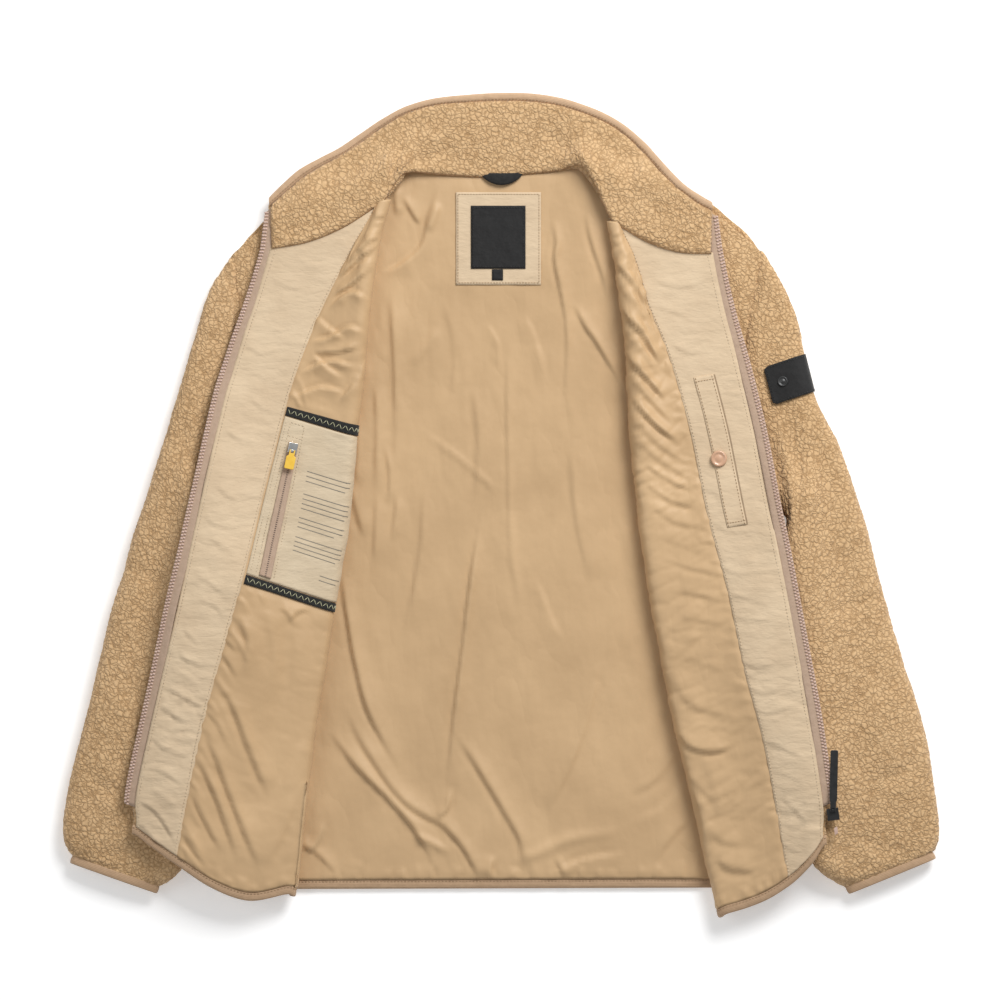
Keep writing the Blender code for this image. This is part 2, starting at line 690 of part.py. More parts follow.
def build_front(front):
    """The cloth pieces of one front."""
    every = np.arange(len(front.sections))
    fleece = front.points[:, front.EDGE:]
    cloth(f"front_{front.name}_outer", fleece, FLEECE, SHERPA)
    level = FLEECE / 2 + GAP + LINING / 2
    facing = trimmed(front.patch(level, every, stops(front.SEAM, front.FACING)), SEAM_GAP, SEAM_GAP / 2)
    cloth(f"facing_{front.name}", facing, LINING, CRINKLE)
    lining = front.patch(level, every, stops(front.FACING, front.ROLL_BOTTOM + 0.6))
    cloth(f"front_{front.name}_lining", trimmed(lining, SEAM_GAP / 2, 0), LINING, TAFFETA)
    middle = (GAP + LINING) / 2
    hem = extended(moved_out(front.points, middle, front.side)[:, front.EDGE:], SEAM_GAP, BINDING_WIDTH)
    cloth(f"hem_binding_{front.name}", hem, BINDING_THICKNESS, BINDING)
    tape = trimmed(front.patch(level, every, [front.TAPE, front.EDGE, front.SEAM]), GAP, 0)
    cloth(f"zip_tape_{front.name}", tape, LINING, TAPE)
    strip = [front.CHAIN, front.TAPE]
    chain = front.patch(level, stops(0, front.row(CHAIN_END[front.name])), strip)
    cloth(f"zip_chain_{front.name}", chain, CHAIN_THICKNESS, CHAIN)
    name, start = ("zip_pin", PIN_START) if front.name == "left" else ("zip_retainer", RETAINER_TOP)
    end_stop = front.patch(level, [front.row(start), front.row(HEM_SECTION)], strip)
    cloth(name, end_stop, PIN_THICKNESS, BLACK_PLASTIC)


def build_inner_pocket(front):
    """The zipped pocket on the left front's lining: panel, two tapes, zip tape, slider and pull tab."""
    level = FLEECE / 2 + GAP + LINING + PATCH_GAP + RIBBON / 2
    top, bottom = POCKET_SECTIONS
    half = POCKET_TAPE_HALF
    apart = 0.01
    columns = stops(front.FACING + 0.05, front.FOLD + 0.4)
    runs = (
        ("pocket_tape_top", top - half - POCKET_SLOPE, top + half, BLACK_CLOTH),
        ("pocket_panel", top + half + apart, bottom - half - apart, CRINKLE),
        ("pocket_tape_bottom", bottom - half, bottom + half, BLACK_CLOTH),
    )
    for name, start, end, finish in runs:
        rows = stops(front.row(start), front.row(end))
        cloth(name, front.patch(level, rows, columns), RIBBON, finish)
    zip_rows = stops(front.row(POCKET_ZIP_START), front.row(bottom - 0.1))
    zip_columns = (front.FACING + 0.5, front.FACING + 0.92)
    tape = front.patch(level + RIBBON + PATCH_GAP, zip_rows, zip_columns)
    cloth("pocket_zip_tape", tape, RIBBON, TAPE)

    zip_middle = sum(zip_columns) / 2
    seat = front.seat(POCKET_SLIDER_SECTION, zip_middle, level + 1.5 * RIBBON + 2 * PATCH_GAP)
    size = SliderSize(width=9.0, length=10.0, plate=2.6, slot=0.0, axis_height=2.0, axis_inset=1.6)
    pull = PullSize(width=9.6, length=18.0, neck=4.6, thickness=1.5)
    build_slider("pocket_slider", seat, size, STEEL, math.pi)
    build_pull("pocket_pull", seat, size, pull, YELLOW, math.pi, math.radians(POCKET_PULL_PITCH))


def build_welt_pocket(front):
    """The stitched welt of the right facing, and its snap."""
    level = FLEECE / 2 + GAP + LINING + PATCH_GAP + RIBBON / 2
    rows = stops(*(front.row(section) for section in WELT_SECTIONS))
    columns = stops(*(front.SEAM + column for column in WELT_COLUMNS))
    cloth("welt_pocket", front.patch(level, rows, columns), RIBBON, CRINKLE)
    seat = front.seat(SNAP_SECTION, front.SEAM + SNAP_COLUMN, level + RIBBON / 2 + SEAM_GAP + SNAP_HEIGHT / 2)
    disc("snap_button", SNAP_RADIUS, SNAP_HEIGHT, seat, PEACH)


@dataclass(frozen=True)
class SliderSize:
    """Sizes of a zip slider, in millimetres.

    Attributes:
        width: Across the zip.
        length: Along the zip.
        plate: Thickness of the upper plate.
        slot: Height of the slot that the tape runs in, or 0 for an upper plate alone.
        axis_height: Height of the pull's axis over the upper plate.
        axis_inset: Distance of that axis from the plate's edge.
    """

    width: float
    length: float
    plate: float
    slot: float
    axis_height: float
    axis_inset: float


@dataclass(frozen=True)
class PullSize:
    """Sizes of a pull tab: its width and length, the length of its neck and its thickness, in millimetres."""

    width: float
    length: float
    neck: float
    thickness: float


def extruded(name, outline, depth, frame, finish):
    """A flat outline in the frame's x and y, given depth to both sides along its z."""
    bm = bmesh.new()
    face = bm.faces.new([bm.verts.new((x * MM, y * MM, -depth / 2 * MM)) for x, y in outline])
    raised = bmesh.ops.extrude_face_region(bm, geom=[face])["geom"]
    lifted = [part for part in raised if isinstance(part, bmesh.types.BMVert)]
    bmesh.ops.translate(bm, verts=lifted, vec=(0, 0, depth * MM))
    bmesh.ops.recalc_face_normals(bm, faces=bm.faces[:])
    made = add_object(name, bm, finish)
    made.matrix_world = frame
    return made


def disc(name, radius, height, frame, finish):
    """A round button with a bevelled rim."""
    bm = bmesh.new()
    bmesh.ops.create_cone(
        bm, cap_ends=True, segments=24, radius1=radius * MM, radius2=(radius - 0.8) * MM, depth=height * MM
    )
    made = add_object(name, bm, finish)
    made.matrix_world = frame
    return made


def pull_frame(seat, size, turn, pitch):
    """The frame of a pull's axis: x along the axis, y along the pull, turned and tipped from its slider."""
    lead = size.length / 2 - size.axis_inset
    top = size.slot / 2 + size.plate + size.axis_height
    turned = Matrix.Rotation(turn, 4, "Z")
    start = turned @ Matrix.Translation((0, lead * MM, top * MM))
    return seat @ start @ Matrix.Rotation(pitch, 4, "X")


def build_slider(name, seat, size, finish, turn):
    """A slider with the bail that its pull turns on."""
    half, slot = size.width / 2, size.slot / 2
    if slot:
        outline = (
            (-half, slot), (-half, slot + size.plate), (half, slot + size.plate), (half, -slot - size.plate),
            (-half * 0.8, -slot - size.plate), (-half * 0.8, -slot), (half * 0.7, -slot), (half * 0.7, slot),
        )
    else:
        outline = ((-half, 0), (half, 0), (half, size.plate), (-half, size.plate))
    stand = Matrix.Rotation(math.pi / 2, 4, "X")
    body = extruded(name, outline, size.length, seat @ stand, finish)
    bail_frame = pull_frame(seat, size, turn, 0.0)
    reach = size.axis_height + 0.5
    bail = extruded(f"{name}_bail", rectangle(BAIL_WIDTH, 2.4), reach + 1.0, bail_frame, finish)
    bail.matrix_world = bail_frame @ Matrix.Translation((0, 0, (1.0 - reach) / 2 * MM))
    bail.hide_render = True
    bail.display_type = "WIRE"
    joined = body.modifiers.new("Bail", "BOOLEAN")
    joined.operation = "UNION"
    joined.object = bail


def rectangle(width, height):
    """Corners of a rectangle about the origin."""
    return (
        (-width / 2, -height / 2), (width / 2, -height / 2), (width / 2, height / 2), (-width / 2, height / 2)
    )


def build_pull(name, seat, size, pull, finish, turn, pitch):
    """A pull tab whose forked neck straddles the slider's bail."""
    slot = BAIL_WIDTH / 2 + GAP
    neck = slot + 1.4
    half = pull.width / 2
    outline = (
        (slot, -1.3), (neck, -1.3), (neck, pull.neck), (half, pull.neck + 1.0), (half, pull.length - 1.0),
        (half - 1.0, pull.length), (1.0 - half, pull.length), (-half, pull.length - 1.0), (-half, pull.neck + 1.0),
        (-neck, pull.neck), (-neck, -1.3), (-slot, -1.3), (-slot, 1.9), (slot, 1.9),
    )
    frame = pull_frame(seat, size, turn, pitch)
    return extruded(name, outline, pull.thickness, frame, finish)


def build_main_slider(front):
    """The main zip's slider and its long strap, lying on the sleeve."""
    level = FLEECE / 2 + GAP + LINING / 2
    seat = front.seat(MAIN_SLIDER_SECTION, 0.72, level)
    size = SliderSize(width=12.0, length=12.0, plate=2.2, slot=2.0, axis_height=1.8, axis_inset=2.0)
    pull = PullSize(width=7.6, length=60.0, neck=9.0, thickness=1.6)
    turn = math.radians(MAIN_PULL_TURN)
    build_slider("main_slider", seat, size, BLACK_PLASTIC, turn)
    build_pull("main_pull", seat, size, pull, BLACK_PLASTIC, turn, math.radians(MAIN_PULL_PITCH))


def build_neck():
    """The patch, label, size tab and hanger loop inside the back neck."""
    level = BACK_LINING_MID + LINING / 2 + RIBBON / 2 + 2 * GAP
    for name, (left, right, top, bottom, layer) in NECK_PIECES.items():
        height = level + layer * (RIBBON + GAP)
        corners = np.array([[(x, y, height) for x in (left, right)] for y in (top, bottom)])
        cloth(name, corners, RIBBON, BLACK_CLOTH if layer else CRINKLE)
    steps = np.linspace(-1, 1, 13)
    arch = np.cos(math.pi / 2 * steps)
    height = level + HANGER_RISE * arch
    near = np.column_stack([HANGER_HALF * steps, HANGER_SEAM_Y - SEAM_GAP * arch, height])
    far = np.column_stack([HANGER_HALF * steps, HANGER_EDGE_Y - HANGER_DIP * arch, height])
    cloth("hanger_loop", np.stack([near, far]), RIBBON, BLACK_CLOTH)


def build_badge(sleeve):
    """The badge on the right sleeve, laid on its top and turned down over its outer edge, and its snap."""
    tree = BVHTree.FromObject(sleeve, bpy.context.evaluated_depsgraph_get())
    inward = unit(np.array(BADGE_INWARD))

    def cast(x, y, z, direction):
        """Where a ray from a place meets the sleeve, in millimetres."""
        start = Vector(((x, y, z) + CENTRE_SHIFT) * MM)
        return np.array(tree.ray_cast(start, Vector(direction))[0]) / MM - CENTRE_SHIFT

    grid = []
    for outside in np.linspace(*BADGE_EDGE, 6):
        sides = [cast(*outside, height, (*inward, 0)) for height in BADGE_SIDE_HEIGHTS]
        tops = [sides[0][:2] + inward * reach for reach in BADGE_TOP_STOPS]
        grid.append([cast(*place, ABOVE_ALL, (0, 0, -1)) for place in tops] + sides)
    laid = moved_out(np.array(grid), BADGE_CLEAR, 1)
    cloth("sleeve_badge", laid, RIBBON, BLACK_CLOTH)
    across = Vector(unit(laid[2, 4] - laid[2, 1]))
    normal = Vector(laid[4, 2] - laid[1, 2]).cross(across).normalized()
    turned = Matrix((across, normal.cross(across), normal)).transposed().to_4x4()
    lift = normal * (RIBBON / 2 + SEAM_GAP + BADGE_SNAP_HEIGHT / 2) * MM
    place = Vector((laid[2:4, 2:4].mean(axis=(0, 1)) + CENTRE_SHIFT) * MM) + lift
    disc("badge_snap", BADGE_SNAP_RADIUS, BADGE_SNAP_HEIGHT, Matrix.Translation(place) @ turned, STEEL)


class Collar:
    """The stand collar, laid open with its inner face up."""

    def __init__(self, fronts, ground):
        """Drapes the collar.

        Args:
            fronts: Dictionary of the two fronts, whose first rows the collar's seam follows.
            ground: What the collar lies on.
        """
        left, right = (fronts[name].points[0, Front.SEAM:Front.FOLD + 1] for name in ("left", "right"))
        shares = np.arange(len(left)) / (len(left) - 1)
        first, last = COLLAR_SHOULDERS
        middle = np.arange(first + 1, last)
        stations = np.concatenate([first * shares, middle, last + (len(COLLAR) - 1 - last) * shares])
        table = through(COLLAR, stations)
        seam = np.concatenate([left[:, :2], table[len(left):-len(right), :2], right[::-1, :2]])
        ends = (left[:, 2] - FLEECE / 2, right[::-1, 2] - FLEECE / 2)
        seam_height = np.concatenate([ends[0], COLLAR_SEAM_HEIGHTS, ends[1]])
        edge = table[:, 2:4]
        seam = seam + unit(edge - seam) * COLLAR_SEAM_GAP
        widths = np.array(COLLAR_WIDTH_STOPS)[:, None, None]
        plan = seam[None] * (1 - widths) + edge[None] * widths
        held = np.full(plan.shape[:2], np.nan)
        held[0] = seam_height
        held[:, [len(left) + station - first - 1 for station in COLLAR_FLAT_STATIONS]] = 0.0
        bottom = draped(plan, ground, COLLAR_CLEAR, COLLAR_REACH, held, COLLAR_SAG)
        self.points = np.concatenate([plan, bottom[..., None]], axis=2)

    def build(self):
        """The two fleece layers and the binding over their edge."""
        for name, level in (("collar_outer", FLEECE / 2), ("collar_inner", FLEECE * 1.5 + 3 * GAP)):
            cloth(name, moved_out(self.points, level, -1), COLLAR_FLEECE, SHERPA)
        middle = FLEECE + GAP / 2
        edge = extended(moved_out(self.points, middle, -1), 2 * SEAM_GAP, COLLAR_BINDING_WIDTH)
        edge[..., 2] = np.maximum(edge[..., 2], COLLAR_BINDING_THICKNESS / 2 + GAP)
        cloth("collar_binding", edge, COLLAR_BINDING_THICKNESS, BINDING)


def main():
    """Builds the whole jacket."""
    for old in list(bpy.data.objects):
        bpy.data.objects.remove(old)
    back = build_back()
    bpy.context.view_layer.update()
    sleeves = {}
    for name, table, side, front in (
        ("left", SLEEVE_LEFT, 1, FRONT_LEFT),
        ("right", SLEEVE_RIGHT, -1, FRONT_RIGHT),
    ):
        side_seam = np.array(front)[ARMPIT_SECTION:, 5:7]
        sleeves[name] = Sleeve(name, table, side, side_seam, back).build()
    bpy.context.view_layer.update()
    fronts = {}
    for front in (
        Front("left", FRONT_LEFT, 1, 22.0, 1.6, 28.0),
        Front("right", FRONT_RIGHT, -1, 13.0, 0.9, 34.0),
    ):
        front.build_surface(Ground({back: UNDER_TOP - FLEECE, sleeves[front.name]: 0.0}))
        fronts[front.name] = front
        build_front(front)
    Collar(fronts, Ground({back: UNDER_TOP - FLEECE})).build()
    build_inner_pocket(fronts["left"])
    build_welt_pocket(fronts["right"])
    build_main_slider(fronts["right"])
    build_neck()
    build_badge(sleeves["right"])


main()
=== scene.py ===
"""Looks of an unzipped sherpa-fleece jacket that lies open on its back.

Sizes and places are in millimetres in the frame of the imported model: +X to the right, +Y towards the collar and
z = 0 on the surface that the jacket lies on. Meshes are written in metres. Each cloth piece is a fine grid laid on
a smooth surface, moved out along its normals by its folds, gathers and pile.
"""

import logging
import math
from dataclasses import dataclass, field
from enum import Enum

import bmesh
import bpy
import numpy as np
from mathutils import Matrix, Vector
from mathutils.bvhtree import BVHTree


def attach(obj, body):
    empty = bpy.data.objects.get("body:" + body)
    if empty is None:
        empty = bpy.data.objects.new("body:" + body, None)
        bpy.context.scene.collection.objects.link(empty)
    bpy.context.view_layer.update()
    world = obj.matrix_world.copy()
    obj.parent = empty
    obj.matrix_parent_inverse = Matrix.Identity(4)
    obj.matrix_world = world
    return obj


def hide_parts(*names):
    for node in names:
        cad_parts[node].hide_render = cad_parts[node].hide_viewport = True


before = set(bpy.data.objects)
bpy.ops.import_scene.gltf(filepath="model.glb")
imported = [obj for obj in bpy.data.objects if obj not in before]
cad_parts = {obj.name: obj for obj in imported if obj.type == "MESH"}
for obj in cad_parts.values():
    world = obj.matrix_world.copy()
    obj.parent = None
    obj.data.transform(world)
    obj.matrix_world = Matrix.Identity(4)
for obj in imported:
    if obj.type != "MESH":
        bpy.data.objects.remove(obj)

Grid = np.ndarray
Colour = tuple[float, float, float]
Node = bpy.types.Node
Socket = bpy.types.NodeSocket
Piece = bpy.types.Object

MM = 0.001

# Cloth thicknesses, air between layers and the heights of the layers.
FLEECE = 5.0
LINING = 1.0
GAP = 0.3
PATCH_GAP = 0.85
UNDER_MID = 10.8
UNDER_EDGE_MID = FLEECE + GAP + FLEECE / 2
UNDER_TOP = UNDER_MID + FLEECE / 2
BACK_LINING_TOP = FLEECE + GAP + LINING
LINING_LEVEL = FLEECE / 2 + GAP + LINING
BINDING_MID = 3.1
LOWEST = 0.05

# Walls that the cloth pieces get, from the visible face inward.
FLEECE_WALL = 4.2
LINING_WALL = 0.8
FACING_WALL = 0.9

# The tables were drawn from this far above the middle of the whole jacket.
CENTRE_SHIFT_Y = -2.4706


class Side(Enum):
    """Which half of the jacket, as seen from above."""

    LEFT = 1
    RIGHT = -1

    @property
    def word(self) -> str:
        """The side's name, as the nodes have it."""
        return self.name.lower()


class Hollow(Enum):
    """On which side of a fold's line the cloth dips beside it."""

    NONE = 0
    LEFT = 1
    RIGHT = -1


# --- Surfaces ---


def placed(rows: tuple, *columns: int) -> Grid:
    """A table with its y columns moved into the jacket's frame.

    Args:
        rows: Rows of the table.
        columns: Numbers of its y columns.

    Returns:
        The table as an array.
    """
    table = np.array(rows, dtype=float)
    table[:, list(columns)] += CENTRE_SHIFT_Y
    return table


def through(table: Grid, at: Grid) -> Grid:
    """Reads a smooth curve through the rows of a table.

    Args:
        table: Rows of numbers, one for each whole step of `at`.
        at: Row positions, whole or between rows.

    Returns:
        One row of values for each position.
    """
    values = np.asarray(table, dtype=float)
    at = np.asarray(at, dtype=float)
    slopes = np.gradient(values, axis=0)
    first = np.clip(np.floor(at).astype(int), 0, len(values) - 2)
    share = (at - first).reshape(-1, *[1] * (values.ndim - 1))
    start, end = values[first], values[first + 1]
    rise = slopes[first], slopes[first + 1]
    return (
        start * (2 * share**3 - 3 * share**2 + 1)
        + end * (3 * share**2 - 2 * share**3)
        + rise[0] * (share**3 - 2 * share**2 + share)
        + rise[1] * (share**3 - share**2)
    )


def resampled(points: Grid, rows: Grid, columns: Grid) -> Grid:
    """A smooth surface through a grid of points, read at finer rows and columns."""
    lengthwise = through(points, rows)
    return through(lengthwise.transpose(1, 0, 2), columns).transpose(1, 0, 2)


def evenly(points: Grid, axis: int, spacing: float, start: float = 0.0, end: float | None = None) -> Grid:
    """Positions along one axis of a grid that lie about evenly over the cloth.

    Args:
        points: Grid of points.
        axis: 0 to step over rows, 1 over columns.
        spacing: Distance between positions.
        start: First position.
        end: Last position, or the grid's last line.

    Returns:
        Positions in rows or columns of the grid.
    """
    steps = np.linalg.norm(np.diff(points, axis=axis), axis=2).mean(axis=1 - axis)
    run = np.concatenate([[0.0], np.cumsum(steps)])
    lines = np.arange(len(run))
    first, last = np.interp([start, lines[-1] if end is None else end], lines, run)
    count = max(2, math.ceil((last - first) / spacing) + 1)
    return np.interp(np.linspace(first, last, count), run, lines)


def unit(vectors: Grid) -> Grid:
    """Vectors scaled to length one."""
    return vectors / np.maximum(np.linalg.norm(vectors, axis=-1, keepdims=True), 1e-9)


def normals(points: Grid, side: int = 1) -> Grid:
    """Directions out of a grid's upper face, where columns run towards +X for side 1 and -X for side -1."""
    return unit(np.cross(np.gradient(points, axis=1), np.gradient(points, axis=0))) * -side


def lengths(points: Grid) -> Grid:
    """Distances over a grid from its first column and its first row, as pairs.

    Args:
        points: Grid of points.

    Returns:
        Distance across and distance down, at each point.
    """
    across = np.linalg.norm(np.diff(points, axis=1), axis=2)
    down = np.linalg.norm(np.diff(points, axis=0), axis=2)
    u = np.concatenate([np.zeros((len(points), 1)), np.cumsum(across, axis=1)], axis=1)
    v = np.concatenate([np.zeros((1, points.shape[1])), np.cumsum(down, axis=0)], axis=0)
    return np.stack([u, v], axis=2)


def level_grid(plan: Grid, height: float) -> Grid:
    """Points over a grid of x and y, all at one height."""
    return np.concatenate([plan, np.full((*plan.shape[:2], 1), height)], axis=2)


def evened(line: Grid) -> Grid:
    """The inner points of a line, each evened with the points beside it."""
    return (line[:-2] + 2 * line[1:-1] + line[2:]) / 4


def wobbles(seed: int, count: int) -> Grid:
    """Small random swings, each drawn close to its neighbours."""
    return np.convolve(np.random.default_rng(seed).normal(size=count + 4), np.ones(5) / 5, "valid")


def untangled(points: Grid) -> Grid:
    """A grid whose cells that overlap in plan have been eased apart along their columns.

    Args:
        points: Grid of points.

    Returns:
        A grid of the same shape.
    """
    points = points.copy()
    for _ in range(80):
        across, down = np.diff(points[..., :2], axis=1)[:-1], np.diff(points[..., :2], axis=0)[:, :-1]
        area = across[..., 0] * down[..., 1] - across[..., 1] * down[..., 0]
        turned = (area * np.sign(np.median(area)) < 0.15).any(axis=0)
        if not turned.any():
            break
        spread = np.convolve(turned, np.ones(9), "same")[:-1] > 0
        eased = (points[:, :-2] + 2 * points[:, 1:-1] + points[:, 2:]) / 4
        points[:, 1:-1][:, spread] = eased[:, spread]
    return points


def ease(share: Grid) -> Grid:
    """Smooth step from 0 to 1."""
    share = np.clip(share, 0.0, 1.0)
    return share * share * (3 - 2 * share)


# --- Relief: noise, pile, folds and gathers ---


class Lattice:
    """Smooth and cellular noise over space, the same each run."""

    SPAN = 64

    def __init__(self, seed: int) -> None:
        """Draws the lattice's values.

        Args:
            seed: Which lattice to draw.
        """
        draw = np.random.default_rng(seed)
        self.values = draw.random((self.SPAN,) * 3) * 2 - 1
        self.spots = draw.random((*(self.SPAN,) * 3, 3))

    def smooth(self, points: Grid, size: float) -> Grid:
        """Soft noise from -1 to 1 whose lumps are about `size` across.

        Args:
            points: Grid of points.
            size: Width of the lumps.

        Returns:
            One number for each point.
        """
        at = np.asarray(points, dtype=float) / size + 31.7
        cell = np.floor(at).astype(int)
        share = ease(at - cell)
        total = np.zeros(at.shape[:-1])
        for corner in np.ndindex(2, 2, 2):
            index = (cell + corner) % self.SPAN
            weight = np.prod(np.where(np.array(corner) == 1, share, 1 - share), axis=-1)
            total += weight * self.values[index[..., 0], index[..., 1], index[..., 2]]
        return total

    def cells(self, points: Grid, size: float) -> tuple[Grid, Grid]:
        """Distances to the nearest and the second nearest of spots that are about `size` apart, in sizes.

        Args:
            points: Grid of points.
            size: Distance between spots.

        Returns:
            Both distances, for each point.
        """
        at = np.asarray(points, dtype=float) / size + 17.3
        cell = np.floor(at).astype(int)
        nearest = np.full(at.shape[:-1], 9.0)
        second = nearest.copy()
        for corner in np.ndindex(3, 3, 3):
            index = cell + np.array(corner) - 1
            held = index % self.SPAN
            spot = index + self.spots[held[..., 0], held[..., 1], held[..., 2]]
            away = np.linalg.norm(at - spot, axis=-1)
            second = np.minimum(second, np.maximum(nearest, away))
            nearest = np.minimum(nearest, away)
        return nearest, second


def crumpled(lattice: Lattice, points: Grid, size: float) -> Grid:
    """Height of a random net of crisp creases over points, from -1 in a crease to about 0.3 between them.

    Args:
        lattice: Source of the pattern.
        points: Grid of points.
        size: Width of the facets between creases.

    Returns:
        The height at each point.
    """
    wander = np.stack([lattice.smooth(points + 70 * step, 1.6 * size) for step in range(3)], axis=-1)
    warped = points + 0.45 * size * wander
    nearest, second = lattice.cells(warped, size)
    strength = np.clip(0.75 + 1.1 * lattice.smooth(points + 31, 2.5 * size), 0.1, 1.4)
    return 0.3 - 1.3 * np.exp(-((second - nearest) / 0.24)) * strength


@dataclass(frozen=True)
class Pile:
    """Curly pile of sherpa fleece.

    Attributes:
        tuft: Distance between tufts.
        stand: How far the pile stands from its crevices to its tops.
        curl: How far the tufts' outlines wander.
        slope: How soon a crevice rises to a tuft, in tuft sizes.
        combed: Direction in which the tufts are drawn out, and by how much.
        lattice: Noise that it is drawn from.
    """

    tuft: float = 5.6
    stand: float = 0.95
    curl: float = 3.0
    slope: float = 0.34
    combed: tuple[float, float, float] = (0.3, -0.25, 0.0)
    lattice: Lattice = field(default_factory=lambda: Lattice(11))

    def height(self, points: Grid) -> Grid:
        """Height of the pile from 0 in a crevice to 1 on a tuft.

        Args:
            points: Grid of points.

        Returns:
            The height at each point.
        """
        noise = self.lattice
        wander = np.stack([noise.smooth(points + 50 * step, 7.0) for step in range(3)], axis=-1)
        warped = points + self.curl * wander
        comb = np.array(self.combed)
        warped = warped - comb * (warped @ comb)[..., None] * 1.5
        nearest, second = noise.cells(warped, self.tuft)
        dome = np.clip((second - nearest) / self.slope, 0, 1)
        dome = dome * (2 - dome)
        worm = np.clip(np.abs(noise.smooth(points + 90, 4.6)) / 0.22, 0, 1)
        frizz = noise.smooth(points, 2.4)
        return np.clip(dome * (0.55 + 0.45 * worm) * (0.9 + 0.22 * frizz), 0, 1)

    def lift(self, height: Grid) -> Grid:
        """How far a pile of this height stands out of its cloth."""
        return self.stand * (height - 0.45)


@dataclass(frozen=True)
class Fold:
    """One fold of the cloth: a soft ridge, or a trough where `height` is below 0.

    Attributes:
        height: Height at its middle.
        half: Half of its width.
        hollow: Its steep side, with the dip beside it, looking from its first point to its last.
        path: Points that it passes through.
    """

    height: float
    half: float
    hollow: Hollow
    path: tuple[tuple[float, float], ...]

    def rise(self, at: Grid) -> Grid:
        """Height that the fold adds at each of some places.

        Args:
            at: Places, in the two coordinates of the path.

        Returns:
            Heights, of the places' own shape.
        """
        path = np.array(self.path, dtype=float)
        stops = np.linspace(0, len(path) - 1, 8 * (len(path) - 1) + 1)
        line = through(path, stops) if len(path) > 2 else path
        low, high = line.min(axis=0) - 9 * self.half, line.max(axis=0) + 9 * self.half
        near = np.all((at > low) & (at < high), axis=-1)
        total = np.zeros(at.shape[:-1])
        if not near.any():
            return total
        spots = at[near]
        best = np.full(len(spots), 1e9)
        signed = np.zeros(len(spots))
        along = np.zeros(len(spots))
        for step, (start, end) in enumerate(zip(line[:-1], line[1:])):
            run = end - start
            share = np.clip((spots - start) @ run / (run @ run), 0, 1)
            gap = spots - start - share[:, None] * run
            away = np.hypot(gap[:, 0], gap[:, 1])
            closer = away < best
            turn = np.sign(run[0] * gap[:, 1] - run[1] * gap[:, 0])
            best = np.where(closer, away, best)
            signed = np.where(closer, away * turn, signed)
            along = np.where(closer, (step + share) / (len(line) - 1), along)
        taper = ease(along / 0.3) * ease((1 - along) / 0.3) * 0.85 + 0.15 * np.sin(math.pi * along)
        rise = np.exp(-((best / self.half) ** 2))
        if self.hollow is not Hollow.NONE:
            past = signed * self.hollow.value / self.half
            steep = np.exp(-((past / 0.6) ** 2)) - 0.35 * np.exp(-(((past - 1.3) / 0.7) ** 2))
            gentle = np.exp(-(np.abs(past / 2.6) ** 1.5))
            rise = np.where(past > 0, steep, gentle) - 0.35 * np.exp(-((1.3 / 0.7) ** 2)) * (past > 0)
        total[near] = self.height * taper * rise
        return total


def folded(*rows: tuple) -> list[Fold]:
    """Folds from rows of height, half width, steep side, then x and y of each point of the path."""
    return [Fold(*row[:3], tuple(zip(row[3::2], row[4::2]))) for row in rows]


def relief(at: Grid, folds: list[Fold]) -> Grid:
    """Height that some folds add together at each place.

    Args:
        at: Places, in the two coordinates of the folds.
        folds: The folds.

    Returns:
        Heights, of the places' own shape.
    """
    total = np.zeros(at.shape[:-1])
    for fold in folds:
        total += fold.rise(at)
    return total


@dataclass(frozen=True)
class Gathers:
    """A row of short folds that start at a seam.

    Attributes:
        first: Distance along the seam where they start.
        last: Distance where they end.
        spacing: Mean distance between them.
        reach: How far they run out from the seam.
        height: Their mean height.
        half: Half of their mean width.
        slant: How far they run along the seam for each millimetre away from it.
        seed: Which draw of lengths, depths and places.
    """

    first: float
    last: float
    spacing: float
    reach: float
    height: float
    half: float
    slant: float
    seed: int

    def folds(self, seam: float, way: int) -> list[Fold]:
        """The folds, in distances across and along the cloth.

        Args:
            seam: Distance across the cloth at which the seam lies.
            way: 1 where they run towards higher distances across, -1 where they run towards lower ones.

        Returns:
            One fold for each gather.
        """
        draw = np.random.default_rng(self.seed)
        made = []
        place = self.first
        while place < self.last:
            reach = self.reach * draw.uniform(0.5, 1.35)
            slant = self.slant + draw.uniform(-0.3, 0.3)
            bend = draw.uniform(-0.12, 0.12) * reach
            path = (
                (seam - way * 3.0, place),
                (seam + way * reach * 0.5, place + slant * reach * 0.5 + bend),
                (seam + way * reach, place + slant * reach),
            )
            hollow = draw.choice([Hollow.LEFT, Hollow.RIGHT, Hollow.NONE])
            made.append(Fold(self.height * draw.uniform(0.5, 1.4), self.half * draw.uniform(0.7, 1.35), hollow, path))
            place += self.spacing * draw.uniform(0.55, 1.5)
        return made


# --- Meshes ---


def linked(name: str, bm: bmesh.types.BMesh, smooth: bool = True) -> Piece:
    """A piece made of a bmesh, whose vertices are in metres.

    Args:
        name: Name of the piece.
        bm: The bmesh, which is freed.
        smooth: Whether its faces are shaded smooth.

    Returns:
        The piece.
    """
    mesh = bpy.data.meshes.new(name)
    bm.to_mesh(mesh)
    bm.free()
    mesh.polygons.foreach_set("use_smooth", np.full(len(mesh.polygons), smooth))
    made = bpy.data.objects.new(name, mesh)
    bpy.context.scene.collection.objects.link(made)
    return made


